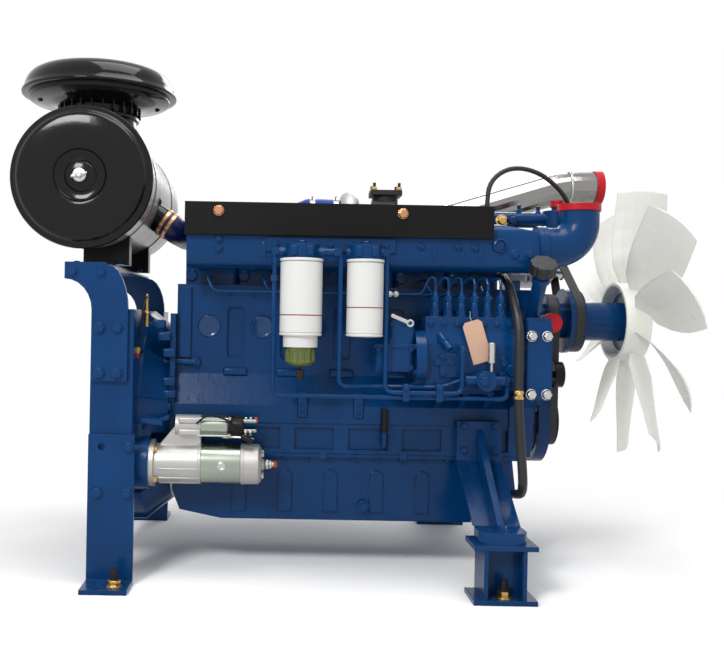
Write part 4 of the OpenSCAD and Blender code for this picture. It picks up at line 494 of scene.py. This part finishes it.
# The speed sensor in the housing, with its lead and its small two-part plug.
brass = bare_metal("brass", (0.6, 0.4, 0.14), rough=0.28, shade=0.8)
red_lead = moulded("red_lead", (0.5, 0.02, 0.015), rough=0.35)
yellow_lead = moulded("yellow_lead", (0.6, 0.42, 0.02), rough=0.35)
sensor_x, sensor_y, sensor_nut_z = 0.13, -0.262, 0.3
sensor = Form()
sensor.puck(0.007, 0.045, facing(sensor_x, sensor_y, 0.262, up))
sensor.tube([(sensor_x, sensor_y, sensor_nut_z), (sensor_x, sensor_y, 0.352)], 0.0032, sides=12)
sensor.ring(0.008, 0.002, facing(sensor_x, sensor_y, sensor_nut_z, up), 24, 8)
sensor.make("speed_sensor", brass, "machined_iron")
lead = Form()
lead.tube([(sensor_x, sensor_y, 0.345), (0.126, -0.29, 0.33), (0.122, -0.31, 0.26), (0.112, -0.315, 0.205)],
          0.0022, 0.02, 10)
lead.make("sensor_lead", moulded("lead_black", (0.02, 0.02, 0.02), grain=0.004, rough=0.5), "hose_rubber")
plug = Form()
plug.block((0.104, -0.322, 0.19), (0.12, -0.31, 0.206), 0.002)
plug.make("sensor_plug", yellow_lead, "dark_plastic")
plug = Form()
plug.block((0.107, -0.321, 0.178), (0.117, -0.312, 0.19), 0.002)
plug.make("sensor_tip", red_lead, "red_plastic")

# Air filter: a grey canister with a dished black lid, which a small silver knob holds.
# Profiles are (radius, height) from the lid's seam outwards.
black = (0.006, 0.006, 0.0065)
gloss_black = enamel("gloss_black", black, grain=0.02, depth=0.0001, rough=0.1, under=(0.05, 0.05, 0.05),
                     shine=0.2, shade=0.8)
dress("air_filter_body", enamel("canister_grey", (0.25, 0.245, 0.235), grain=0.02, depth=0.0002, rough=0.25,
                                under=(0.2, 0.2, 0.2), shade=0.86, shine=0.35))
can_x, can_y, can_z = -0.028, -0.385, 0.65
lid_profile = [
    (0, 0.023), (0.012, 0.023), (0.0125, 0.031), (0.034, 0.031), (0.037, 0.029), (0.0425, 0.0235),
               (0.06, 0.0235),
    (0.066, 0.0275), (0.07, 0.0335), (0.078, 0.035), (0.152, 0.035), (0.161, 0.033), (0.1665, 0.028),
    (0.169, 0.021), (0.174, 0.0165), (0.1805, 0.0155), (0.185, 0.0135), (0.187, 0.009), (0.187, 0.0035),
    (0.185, 0.001), (0.1785, 0), (0.1785, -0.012), (0.176, -0.014)]
lid = Form()
lid.turned(lid_profile, facing(can_x, can_y, can_z), 128)
lid.make("filter_lid", gloss_black, "black_paint", stands_for=["air_filter_cover"])
steel = bare_metal("zinc_steel", (0.6, 0.6, 0.58), rough=0.24, shade=0.75)
lid_high = 0.035
at_lid = facing(can_x, can_y - lid_high, can_z)
bar_lean = Matrix.Rotation(math.radians(12), 4, "Z")
knob_profile = [(0, 0.0), (0.0165, 0.0), (0.0178, 0.001), (0.0178, 0.0035), (0.0165, 0.0042),
                (0.0085, 0.0036),
                (0.0075, 0.0105), (0.0065, 0.0118), (0, 0.0118)]
bar_outline = [(-0.022, -0.0035), (-0.006, -0.0055), (0.006, -0.0055), (0.022, -0.001), (0.0215, 0.004),
               (0.006, 0.0055), (-0.006, 0.0055), (-0.021, 0.003)]
knob = Form()
knob.turned(knob_profile, at_lid, 40)
knob.slab(bar_outline, 0.004, 0.009, 0.0012, at_lid @ bar_lean)
knob.make("cover_knob", steel, "bright_steel", body="cover_nut", stands_for=["wing_nut"])

# Rain cap on the canister's neck: a plate, a rolled rim and a dome, with ribs under the plate.
cap_profile = [
    (0.1, 0.78), (0.1035, 0.786), (0.1035, 0.842), (0.111, 0.845), (0.111, 0.853), (0.104, 0.856),
               (0.105, 0.874),
    (0.118, 0.884), (0.15, 0.89), (0.192, 0.896), (0.197, 0.899), (0.199, 0.905), (0.1985, 0.9105),
    (0.213, 0.9105), (0.2165, 0.912), (0.2178, 0.916), (0.2165, 0.9195), (0.2125, 0.923), (0.2105, 0.932),
    (0.2065, 0.945), (0.2, 0.957), (0.191, 0.967), (0.178, 0.975), (0.16, 0.981), (0.12, 0.988),
               (0.06, 0.996),
    (0, 0.9995)]
cap_ribs, cap_screws = 24, 6
upside_down = Matrix.Rotation(math.pi, 4, "X")
over = standing(-0.03, -0.16)
cap = Form()
cap.turned(cap_profile, over, 128)
for turn in turns(cap_ribs, 0):
    cap.block((0.103, -0.0028, 0.856), (0.1165, 0.0028, 0.887), 0.0012, over @ Matrix.Rotation(turn, 4, "Z"),
              1)
for turn in turns(cap_screws, 0.3):
    spoke = over @ Matrix.Rotation(turn, 4, "Z") @ standing(0.165, 0, 0.893)
    cap.head(spoke @ upside_down, 0.006, 0.004)
cap.make("rain_hood", gloss_black, "black_paint", stands_for=["rain_cap"])
dress("filter_saddles", enamel("saddle_black", black, grain=0.01, depth=0.0002, rough=0.3))
saddle_ys = (-0.25, 0.12)
band = Form()
for y in saddle_ys:
    band.collar(0.1765, 0.1782, 0.012, facing(can_x, y, can_z), 96, shut=True)
band.make("canister_straps", enamel("strap_grey", (0.32, 0.31, 0.3), grain=0.01, depth=0.0001, rough=0.3,
                                    metal=0.6),
          "grey_paint")

# The filter's outlet, its clamp with a round eye, and the navy hose to the turbocharger.
turbo_y, turbo_z, outlet_y = 0.29, 0.63, -0.12
hose_r, band_r, band_half = 0.04, 0.0418, 0.005
outlet = Form()
outlet.tube([(0.088, outlet_y, 0.6075), (0.1495, outlet_y, 0.5675)], 0.0396, sides=48)
outlet.make("filter_outlet", gloss_black, "black_paint")
run = Vector((0.0615, 0, -0.04)).normalized()
eye = Form()
eye.ring(0.0105, 0.0038, facing(0.138, -0.166, 0.618), 36, 12)
eye.tube([(0.131, -0.166, 0.609), (0.118, -0.163, 0.598), (0.112, -0.158, 0.59)], 0.0045, 0.01, 12)
eye.collar(0.0396, 0.0425, 0.006, facing(0.108, outlet_y, 0.5945, run), 48, shut=True)
eye.make("outlet_clamp", blue_fittings, "blue_paint")
hose_start_x, hose_start_z, hose_fall = 0.1498, 0.5673, 0.6545
hose = Form()
hose.tube([(hose_start_x, outlet_y, hose_start_z), (0.188, outlet_y, 0.5423), (0.188, 0.27, 0.5523),
           (0.328, turbo_y, turbo_z), (0.656, turbo_y, turbo_z)], hose_r, 0.07, 40, 14)
hose.make("air_intake_hose", moulded("navy_silicone", (0.006, 0.014, 0.09), grain=0.002, rough=0.35,
                                     shine=0.35),
          "blue_hose", stands_for=["air_hose"])
bands = Form()
for x in (0.156, 0.172):
    z = hose_start_z - (x - hose_start_x) * hose_fall
    bands.collar(hose_r, band_r, band_half, facing(x, outlet_y, z, (0.837, 0, -0.547)), 48, shut=True)
bands.collar(hose_r, band_r, band_half, facing(0.645, turbo_y, turbo_z, ahead), 48, shut=True)
copper = bare_metal("copper", (0.62, 0.3, 0.15), rough=0.25, shade=0.8)
bands.make("hose_bands", copper, "bright_steel")

# The filter's stand: two curved plates on the housing, with their bolts.
spray("filter_stand", "stand_blue", grain=0.012, depth=0.0002, radius=0.002)
stand_side, shelf_z = 0.389, 0.429
big_r, big_h, big_washer = 0.0142, 0.009, 1.15
stand_bolts = Form()
for side in both_sides:
    way = (0, side, 0)
    for x, z in ((0.025, 0.258), (0.071, 0.259), (0.026, 0.14), (0.072, 0.14)):
        stand_bolts.head(facing(x, side * stand_side, z, way), big_r, big_h, big_washer)
    for x, z in ((-0.048, 0.403), (0.027, 0.402)):
        stand_bolts.head(facing(x, side * stand_side, z, way), 0.0105, 0.007)
for y in saddle_ys:
    for x in (-0.062, 0.055):
        stand_bolts.head(standing(x, y - 0.03, shelf_z), 0.009, 0.007)
stand_bolts.make("stand_bolts", blue_fittings, "blue_paint")

# Rear legs and front feet, with their bolts and the anchors in the floor.
spray("rear_legs", "leg_blue", grain=0.01, depth=0.0002, radius=0.002)
spray("front_feet", "foot_blue", grain=0.009, depth=0.0003, radius=0.003)
leg_side, foot_side = 0.387, 0.256
foot_bolts = Form()
for side in both_sides:
    way = (0, side, 0)
    for x, z in ((0.106, -0.052), (0.025, -0.172), (0.103, -0.172)):
        foot_bolts.head(facing(x, side * leg_side, z, way), big_r, big_h, big_washer)
    for x in (1.006, 1.092):
        for z in (0.005, -0.0625):
            foot_bolts.head(facing(x, side * foot_side, z, way), 0.0095, 0.0085, 1.3)
    foot_bolts.head(standing(1.063, side * 0.462, -0.235), 0.0135, 0.011, 1.3)
foot_bolts.make("foot_bolts", blue_fittings, "blue_paint")
foot_top, threads, thread_start, thread_step = -0.4, 9, 0.022, 0.0025
anchors, nuts = Form(), Form()
for x, y in ((0.084, 0.442), (1.066, 0.479)):
    for side in both_sides:
        at = standing(x, side * y, foot_top)
        anchors.puck(0.01, 0.046, at, 24, rim=0.044, top=0.0085)
        for k in range(threads):
            anchors.ring(0.0098, 0.0006, at @ standing(0, 0, thread_start + k * thread_step), 24, 6)
        nuts.puck(0.02, 0.004, at, 32, rim=0.0035, top=0.0195)
        nuts.turned([(0, 0.004), (0.0155, 0.004), (0.016, 0.005), (0.016, 0.0165), (0.0145, 0.018),
                     (0, 0.018)], at, 6)
anchors.make("anchor_studs", enamel("stud_black", (0.015, 0.015, 0.015), grain=0.006, depth=0.0002,
                                    rough=0.45,
                                    coat=0), "machined_iron", stands_for=["anchor_bolts"])
nuts.make("anchor_nuts", brass, "machined_iron")

# Intake side: manifold, elbow and the black cover panel with its two copper bolts.
spray("intake_manifold", "manifold_blue", grain=0.004, depth=0.0004)
spray("intake_elbow", "elbow_blue", grain=0.004, depth=0.0004)
dress("cover_panel", enamel("panel_black", (0.011, 0.011, 0.0115), grain=0.002, depth=0.0001, rough=0.45,
                            coat=0,
                            shine=0.08, lumps=0.01))
panel_bolts = Form()
for x in (0.3266, 0.8169):
    panel_bolts.head(facing(x, -0.339, 0.575), 0.0132, 0.0085, 1.1)
panel_bolts.make("panel_bolts", copper, "bright_steel")
manifold_bolts = ((0.327, 0.502, 0.0085), (0.327, 0.475, 0.0085), (0.87, 0.49, 0.0075), (0.968, 0.49, 0.0075),
                  (1.015, 0.488, 0.0075), (1.12, 0.472, 0.0085), (1.16, 0.472, 0.0085))
rib_outline = [(-0.006, 0), (0.006, 0), (0.006, 0.045), (-0.006, 0.045)]
intake = Form()
for x, z, r in manifold_bolts:
    intake.turned([(0, -0.004), (r * 1.7, -0.004), (r * 1.6, 0.001), (0, 0.001)], facing(x, -0.32, z), 28)
    intake.head(facing(x, -0.321, z), r, 0.006)
for x in (0.45, 0.68, 0.905, 1.03):
    intake.slab(rib_outline, -0.004, 0.003, 0.0015, facing(x, -0.319, 0.452))
for x in (0.479, 0.521, 0.588, 0.626, 0.684, 0.733, 0.774):
    intake.head(facing(x, -0.328, 0.49), 0.0075, 0.005)
intake.turned([(0.014, -0.008), (0.0185, -0.006), (0.0185, 0.006), (0.014, 0.008)],
              facing(1.079, -0.326, 0.496), 36)
intake.block((1.234, -0.3, 0.505), (1.262, -0.255, 0.535), 0.005)
for y in (-0.31, -0.235):
    intake.head(facing(1.2, y, 0.51, ahead), 0.0085, 0.007)
intake.make("manifold_fittings", blue_fittings, "blue_paint")

# Water rail over the heads, with its small plugs and pipe stubs.
spray("water_rail", "rail_blue", grain=0.005, depth=0.0003)
rail_y, rail_side, rail_top = -0.14, -0.162, 0.607
nipple = [(0, 0), (0.008, 0), (0.008, 0.009), (0.0055, 0.011), (0.0055, 0.022), (0.0065, 0.024), (0, 0.026)]
stubs = Form()
stubs.head(facing(1.152, rail_side, 0.583), 0.011, 0.01)
for x, z in ((1.178, 0.612), (1.233, 0.608)):
    stubs.turned(nipple, standing(x, rail_y, z - 0.006), 24)
for i in range(cylinders):
    for side in both_sides:
        stubs.head(standing(first_x + i * pitch + side * 0.022, rail_y, rail_top), 0.006, 0.005)
stubs.make("rail_fittings", blue_fittings, "blue_paint")
gold = Form()
gold.head(facing(1.1236, rail_side, 0.581), 0.0125, 0.012)
gold.make("rail_plug", brass, "machined_iron")

# Fuel filters: two white cans with rolled rims and a red line, hanging from a blue head.
can_white = enamel("can_white", (0.66, 0.66, 0.64), grain=0.02, depth=0.0001, rough=0.2, shade=0.95,
                   under=(0.4, 0.4, 0.4), wear=0.15, shine=0.5)
dress("fuel_filters", can_white)
dress("oil_filters", can_white)
spray("fuel_filter_head", "filter_head_blue", grain=0.004, depth=0.0003)
line_red = moulded("line_red", (0.4, 0.012, 0.015), rough=0.25)
fuel_y, union_z, can_low = -0.395, 0.465, 0.246
first_can, second_can = 0.548, 0.714
line_half = 0.0013
rims, lines = Form(), Form()
for x, r, red_z in ((first_can, 0.055, 0.3), (second_can, 0.0475, 0.322)):
    at = standing(x, fuel_y)
    rims.turned([(r - 0.001, 0.439), (r + 0.0012, 0.4395), (r + 0.0016, 0.4425), (r + 0.0012, 0.446),
                 (r - 0.004, 0.447)], at, 96)
    rims.turned([(r - 0.001, can_low + 0.008), (r + 0.0009, can_low + 0.006), (r + 0.0009, can_low + 0.003),
                 (r - 0.002, can_low + 0.001)], at, 96)
    lines.turned([(r - 0.001, red_z - line_half), (r + 0.0003, red_z - line_half),
                  (r + 0.0003, red_z + line_half),
                  (r - 0.001, red_z + line_half)], at, 96)
for x in (0.511, 0.641):
    rims.turned([(0.053, 0.172), (0.0552, 0.173), (0.0556, 0.178), (0.0552, 0.182), (0.05, 0.183)],
                standing(x, 0.306), 96)
rims.make("can_rims", can_white, "white_paint")
lines.make("can_lines", line_red, "white_paint")
head = Form()
for x in (first_can, second_can):
    head.turned([(0, 0.484), (0.012, 0.484), (0.012, 0.492), (0.01, 0.494), (0, 0.494)], standing(x, fuel_y),
                6)
    for side in both_sides:
        head.block((x + side * 0.02 - 0.008, -0.4385, 0.452), (x + side * 0.02 + 0.008, -0.432, 0.478), 0.002)
for x in (0.497, 0.6, 0.676, 0.752):
    head.turned([(0, -0.006), (0.012, -0.006), (0.012, 0.006), (0, 0.006)], facing(x, fuel_y, union_z, ahead),
                6)
for x in (0.484, 0.644, 0.77):
    head.turned([(0, -0.012), (0.0105, -0.012), (0.0115, -0.004), (0.0115, 0.009), (0, 0.009)],
                facing(x - 0.004, fuel_y, union_z), 6)
head.make("filter_unions", blue_fittings, "blue_paint")

# The water bowl under the first can: green-yellow plastic with ribs, over the dark drain.
bowl_plastic = enamel("bowl_plastic", (0.13, 0.17, 0.025), grain=0.012, depth=0.0002, rough=0.12, coat=0,
                      wear=0,
                      shade=0.45, shine=0.6)
bowl_ribs = 14
bowl = Form()
at = standing(first_can, fuel_y)
bowl.turned([(0, 0.217), (0.0375, 0.217), (0.0375, 0.209), (0.035, 0.207), (0.0345, 0.186), (0.036, 0.184),
             (0.036, 0.177), (0.03, 0.171), (0.02, 0.168), (0.012, 0.166), (0, 0.166)], at, 72)
for turn in turns(bowl_ribs, 0):
    bowl.block((0.033, -0.002, 0.178), (0.0382, 0.002, 0.212), 0.0008, at @ Matrix.Rotation(turn, 4, "Z"), 1)
bowl.make("water_bowl", bowl_plastic, "bowl_plastic", stands_for=["filter_bowl"])
dress("drain_valve", moulded("drain_dark", (0.03, 0.026, 0.02), grain=0.004, depth=0.0002, rough=0.45))

# Fuel and injection pipes, with their clips and nuts, and the six delivery valves of stacked nuts.
spray("fuel_lines", "line_blue", grain=0.01, depth=0.0002, rough=0.15)
spray("injection_lines", "injection_blue", grain=0.01, depth=0.0002, rough=0.15)
pipe_fits = Form()
for x in (0.823, 0.909):
    pipe_fits.block((x - 0.009, -0.418, 0.082), (x + 0.009, -0.386, 0.127), 0.003)
    pipe_fits.head(facing(x, -0.418, 0.115), 0.006, 0.004)
for z in (0.44, 0.395):
    pipe_fits.turned([(0, z - 0.008), (0.0095, z - 0.008), (0.0095, z + 0.008), (0, z + 0.008)],
                     standing(0.478, fuel_y), 6)
pipe_fits.make("pipe_clips", blue_fittings, "blue_paint")
first_valve, valve_step, pump_y = 0.91, 0.035, -0.321
valve_tiers = (
    ([(0, 0.303), (0.0148, 0.303), (0.0148, 0.307), (0.0135, 0.308)], 40),
    ([(0.0135, 0.308), (0.0135, 0.319), (0.0118, 0.321)], 6),
    ([(0.0118, 0.321), (0.011, 0.321), (0.0105, 0.338), (0.009, 0.342)], 32),
    ([(0.009, 0.342), (0.0112, 0.342), (0.0112, 0.357), (0.0095, 0.3595)], 6),
    ([(0.0095, 0.3595), (0.0068, 0.362), (0.0052, 0.371), (0, 0.371)], 28))
valves = Form()
for i in range(cylinders):
    for profile, sides in valve_tiers:
        valves.turned(profile, standing(first_valve + valve_step * i, pump_y), sides)
valves.make("valve_holders", blue_fittings, "blue_paint", stands_for=["delivery_valves"])
clamps = Form()
for x in (0.79, 0.806):
    clamps.block((x - 0.0025, -0.304, 0.355), (x + 0.0025, -0.24, 0.3685), 0.0012)
    clamps.head(facing(x, -0.304, 0.362), 0.0055, 0.004)
clamps.make("line_clamps", steel, "zinc_steel")

# Injection pump, governor, feed pump and primer, with their screws, cover plate and slanted plug.
spray("injection_pump", "pump_blue", grain=0.004, depth=0.0004)
spray("pump_governor", "governor_blue", grain=0.005, depth=0.0003)
spray("feed_pump", "feed_blue", grain=0.004, depth=0.0003)
dress("control_lever", steel)
dress("primer_handle", steel)
pump_face, neck_face, governor_face, cover_face = -0.369, -0.355, -0.367, -0.3735
feed_y, feed_z = -0.395, 0.138
small = {"r": 0.0055, "h": 0.004}
fits = Form()
for i in range(7):
    x = 0.8925 + valve_step * i
    fits.head(facing(x, neck_face, 0.285), **(small if i % 2 else {"r": 0.007, "h": 0.006}))
    fits.head(facing(x + 0.004, pump_face, 0.125), 0.006, 0.005)
fits.block((0.915, cover_face, 0.142), (1.09, -0.3685, 0.205), 0.002)
for x in (0.925, 1.08):
    for z in (0.152, 0.195):
        fits.head(facing(x, cover_face, z), **small)
fits.tube([(0.916, -0.366, 0.254), (0.924, -0.385, 0.238), (0.937, -0.401, 0.218)], 0.0095, 0.008, 20)
fits.ring(0.0095, 0.0028, facing(0.924, -0.385, 0.238, (0.5, -0.6, -0.8)), 24, 8)
fits.head(facing(1.021, -0.421, feed_z), 0.0125, 0.009)
fits.head(facing(1.082, feed_y, feed_z, ahead), 0.013, 0.01)
fits.head(facing(0.978, feed_y, feed_z, (-1, 0, 0)), 0.013, 0.01)
fits.puck(0.015, 0.008, facing(1.103, pump_face, 0.165), 28, rim=0.006, top=0.013)
for x, z in ((0.755, 0.166), (0.755, 0.215), (0.841, 0.166), (0.841, 0.215), (0.789, 0.282), (0.82, 0.282),
             (0.789, 0.234)):
    fits.head(facing(x, governor_face, z), **small)
fits.block((0.743, -0.37, 0.218), (0.856, -0.364, 0.229), 0.0015)
flange_x, flange_z, flange_circle = 0.852, 0.189, 0.067
for turn in turns(6):
    fits.head(facing(flange_x, pump_y + flange_circle * math.cos(turn),
                     flange_z + flange_circle * math.sin(turn),
                     (-1, 0, 0)), 0.0065, 0.005)
fits.make("pump_fittings", blue_fittings, "blue_paint")

# The bare paper tag in front of the pump, and the string that holds it.
tag = Form()
lean = facing(1.012, -0.376, 0.238) @ Matrix.Rotation(math.radians(17), 4, "Z")
tag.slab([(-0.026, -0.056), (0.026, -0.056), (0.026, 0.048), (0.018, 0.057), (-0.018, 0.057),
          (-0.026, 0.048)],
         0.0, 0.0012, 0.0004, lean, 1)
tag.make("paper_tag", moulded("peach_paper", (0.6, 0.38, 0.27), grain=0.003, rough=0.7, shade=0.9),
         "ivory_plastic")
tie = Form()
tie.tube([(0.999, -0.3765, 0.287), (0.992, -0.374, 0.302), (1.0, -0.338, 0.318)], 0.0008, 0.008, 8)
tie.make("tag_string", moulded("string_white", (0.6, 0.6, 0.57), grain=0.002, rough=0.8), "white_paint")

# Starter: cast nose and end cap, zinc yoke and solenoid, with its bolts, terminals and cables.
cast = enamel("cast_alloy", (0.5, 0.49, 0.475), grain=0.0015, depth=0.0003, rough=0.42, coat=0, metal=0.7,
              shade=0.78, under=(0.6, 0.6, 0.6))
zinc = bare_metal("zinc_yoke", (0.4, 0.45, 0.38), grain=0.012, rough=0.24, shade=0.7, wear=0.1)
plastic_black = moulded("plastic_black", (0.012, 0.012, 0.012), grain=0.003, rough=0.35)
dress("starter_castings", cast)
dress("starter_motor", zinc)
starter_y, starter_z, end_x = -0.28, -0.107, 0.451


def on_starter(x, y=starter_y, z=starter_z):
    """A place on the starter, looking along its axis."""
    return facing(x, y, z, ahead)


nose = Form()
for degrees in (100, 130, 160, 190, 220, 250):
    nose.block((0.175, -0.003, 0.052), (0.282, 0.003, 0.0565), 0.0015,
               standing(0.0, starter_y, starter_z) @ Matrix.Rotation(math.radians(degrees), 4, "X"))
for x, r in ((0.284, 0.0562), (0.399, 0.0556)):
    nose.turned([(0.0536, -0.003), (r, -0.002), (r, 0.004), (0.0536, 0.005)], on_starter(x), 96)
nose.turned([(0.0, 0.0), (0.017, 0.0), (0.016, 0.006), (0.012, 0.009), (0, 0.009)], on_starter(end_x), 40)
for z in (0.012, -0.02):
    nose.block((0.226, -0.308 - 0.006, z - 0.008), (0.286, -0.308 + 0.003, z + 0.008), 0.003)
nose.make("starter_ribs", cast, "cast_alloy")
screw_circle, bolt_circle = 0.041, 0.056
screws = Form()
for turn in turns(4):
    screws.head(on_starter(end_x, starter_y + screw_circle * math.cos(turn),
                           starter_z + screw_circle * math.sin(turn)),
                0.0055, 0.005)
for y, z in ((-0.295, -0.019), (-0.265, 0.011)):
    for x in (0.404, 0.417):
        screws.puck(0.0095, 0.006, on_starter(x, y, z))
screws.puck(0.0145, 0.007, on_starter(0.463))
screws.puck(0.0125, 0.005, on_starter(0.473))
for z in (0.018, -0.028):
    screws.tube([(0.275, -0.311, z), (0.362, -0.311, z)], 0.0028, sides=12)
    screws.head(on_starter(0.362, -0.311, z), **small)
screws.turned([(0, 0), (0.0125, 0), (0.0125, 0.001), (0.009, 0.0025), (0.006, 0.0012), (0, 0.0012)],
              facing(0.345, -0.3335, starter_z), 40)
screws.tube([(0.346, -0.3, -0.033), (0.385, -0.312, -0.03), (0.43, -0.314, -0.035)], 0.003, 0.02, 12)
screws.make("starter_screws", steel, "zinc_steel")
brasses = Form()
for degrees in (45, 135, 225, 315):
    turn = math.radians(degrees)
    brasses.head(on_starter(0.163, starter_y + bolt_circle * math.cos(turn),
                            starter_z + bolt_circle * math.sin(turn)),
                 0.0085, 0.007)
brasses.make("starter_bolts", brass, "machined_iron")
covers = Form()
covers.turned([(0.0, 0.012), (0.026, 0.012), (0.0292, 0.009), (0.0294, -0.03), (0.0285, -0.032)],
              on_starter(0.39, z=-0.004), 64)
covers.tube([(0.398, -0.312, -0.028), (0.412, -0.316, -0.034), (0.428, -0.318, -0.042)], 0.0075, 0.01, 16)
covers.tube([(0.275, -0.313, 0.004), (0.305, -0.322, 0.03), (0.345, -0.318, 0.022), (0.38, -0.312, 0.0),
             (0.4, -0.31, -0.02)], 0.0026, 0.02, 12)
covers.make("solenoid_cover", plastic_black, "dark_plastic")
tips = Form()
for place in (on_starter(0.43, -0.265, 0.011), on_starter(0.484)):
    tips.puck(0.0088, 0.01, place, 24, rim=0.008, top=0.006)
tips.make("terminal_tips", moulded("tip_orange", (0.6, 0.08, 0.01), rough=0.35), "red_plastic")

# Timing case end: filler, support plate, front water pump, damper, pulleys, belts and hoses.
# The bolts of the fan and of the damper turn with them, so they are pieces of their own.
for name, grain in (("front_support_plate", 0.008), ("water_pump", 0.005), ("accessory_brackets", 0.006),
                    ("oil_filler_neck", 0.006), ("oil_cooler", 0.005), ("crank_damper", 0.01),
                    ("fan_hub", 0.01)):
    spray(name, name + "_blue", grain=grain, depth=0.0003, radius=0.002)
for name in ("crank_pulley", "idler_pulley"):
    dress(name, enamel(name + "_black", black, grain=0.01, depth=0.0002, rough=0.3))
dress("alternator", cast)
dress("alternator_pulley", steel)
rubber = moulded("rubber_black", (0.016, 0.0165, 0.018), grain=0.003, depth=0.0002, rough=0.5, shine=0.4)
for name in ("rubber_hoses", "drive_belts", "oil_filler_cap"):
    dress(name, rubber)
dress("dipstick", plastic_black)
fan_z, fan_front, fan_circle = 0.3, 1.578, 0.09
damper_front, damper_circle = 1.288, 0.1
pump_front, pump_circle = 1.257, 0.073
case_front, case_side = 1.213, -0.39
zincs = Form()
for x in (1.149, 1.189):
    for z in (0.105, 0.256):
        zincs.head(facing(x, -0.398, z), 0.0125, 0.011, 1.15)
zincs.make("front_bolts", steel, "zinc_steel")
fan_bolts = Form()
for turn in turns(8, 0):
    fan_bolts.head(facing(fan_front, fan_circle * math.cos(turn), fan_z + fan_circle * math.sin(turn), ahead),
                   0.0085, 0.007)
fan_bolts.make("fan_bolts", steel, "zinc_steel", body="fan_shaft")
damper_bolts = Form()
for turn in turns(6):
    damper_bolts.head(facing(damper_front, damper_circle * math.cos(turn), damper_circle * math.sin(turn),
                             ahead),
                      0.0095, 0.007)
damper_bolts.make("damper_bolts", blue_fittings, "blue_paint", body="crank")
front = Form()
for turn in turns(8, 0):
    front.head(facing(pump_front, pump_circle * math.cos(turn), fan_z + pump_circle * math.sin(turn), ahead),
               0.0065, 0.005)
for y, z in ((-0.2, 0.36), (-0.2, 0.2), (-0.2, 0.05), (0.2, 0.3), (0.2, 0.14), (0.2, 0.0), (-0.1, 0.42),
             (0.1, 0.42)):
    front.head(facing(case_front, y, z, ahead), 0.008, 0.006)
for z in (0.12, 0.18, 0.24, 0.29):
    front.head(facing(1.19, case_side, z), 0.006, 0.005)
front.make("case_bolts", blue_fittings, "blue_paint")
clips = Form()
for z in (0.098, 0.112):
    clips.collar(0.0118, 0.0135, 0.004, standing(1.11, -0.422, z), 32)
clips.head(facing(1.11, -0.435, 0.105), 0.005, 0.004)
for place in (standing(1.056, -0.268, 0.57), standing(1.312, -0.175, 0.62)):
    clips.collar(0.0065, 0.0085, 0.006, place, 28)
clips.make("hose_clips", brass, "zinc_steel")

# Far side: exhaust log, turbocharger and its blue sleeve, polished charge pipe and red shipping caps.
hot = enamel("hot_iron", (0.022, 0.021, 0.02), grain=0.003, depth=0.0006, rough=0.6, coat=0,
             under=(0.15, 0.07, 0.04), shine=0.3)
dress("exhaust_manifold", hot)
dress("turbo_turbine", hot)
dress("turbo_compressor", cast)
dress("charge_air_pipe", bare_metal("polished_pipe", (0.3, 0.295, 0.29), grain=0.006, rough=0.14, shade=0.8))
dress("shipping_caps", moulded("cap_red", (0.5, 0.012, 0.02), rough=0.28, shade=0.7))
stack_x, stud_reach, stack_top = 0.843, 0.041, 0.7245
nuts = Form()
for end in both_sides:
    for side in both_sides:
        nuts.puck(0.0095, 0.009, standing(stack_x + end * stud_reach, turbo_y + side * stud_reach, stack_top))
nuts.make("stack_nuts", brass, "machined_iron")
sleeve = Form()
sleeve.turned([(0.0405, -0.14), (0.047, -0.12), (0.064, -0.08), (0.066, -0.07), (0.066, 0.03), (0.05, 0.0335),
               (0.0435, 0.034)], facing(0.656, turbo_y, turbo_z, ahead), 72)
sleeve.make("blue_sleeve", moulded("sleeve_blue", (0.005, 0.04, 0.32), grain=0.002, rough=0.35), "blue_hose")
bands = Form()
for x in (0.598, 0.676):
    bands.turned([(0.066, -0.0095), (0.0685, -0.009), (0.0685, 0.009), (0.066, 0.0095)],
                 facing(x, turbo_y, turbo_z, ahead), 72)
    bands.tube([(x, 0.255, 0.7), (x, 0.31, 0.7)], 0.0035, sides=12)
bands.turned([(0.05, -0.004), (0.0525, -0.003), (0.0525, 0.003), (0.05, 0.004)],
             facing(1.41, 0.146, 0.727, ahead), 72)
bands.make("sleeve_clamps", steel, "zinc_steel")
cooler_bolts, cooler_start, cooler_step = 9, 0.315, 0.0705
far = Form()
for i in range(cylinders):
    for side in both_sides:
        far.head(facing(first_x + i * pitch + side * 0.038, 0.2, 0.405, far_way), 0.008, 0.007)
for i in range(cooler_bolts):
    for z in (0.155, 0.306):
        far.head(facing(cooler_start + i * cooler_step, 0.23, z, far_way), 0.0065, 0.005)
far.make("far_bolts", blue_fittings, "blue_paint")

# Crank, flywheel and starter ring inside the open rear face, and the ivory fan at the front.
for name in ("crankshaft", "flywheel", "ring_gear"):
    dress(name, enamel(name + "_iron", (0.42, 0.42, 0.42), grain=0.004, depth=0.0002, rough=0.3, coat=0,
                       metal=1.0,
                       shade=0.7))
dress("fan", moulded("fan_ivory", (0.84, 0.845, 0.79), grain=0.02, depth=0.0002, rough=0.35, shade=0.9))
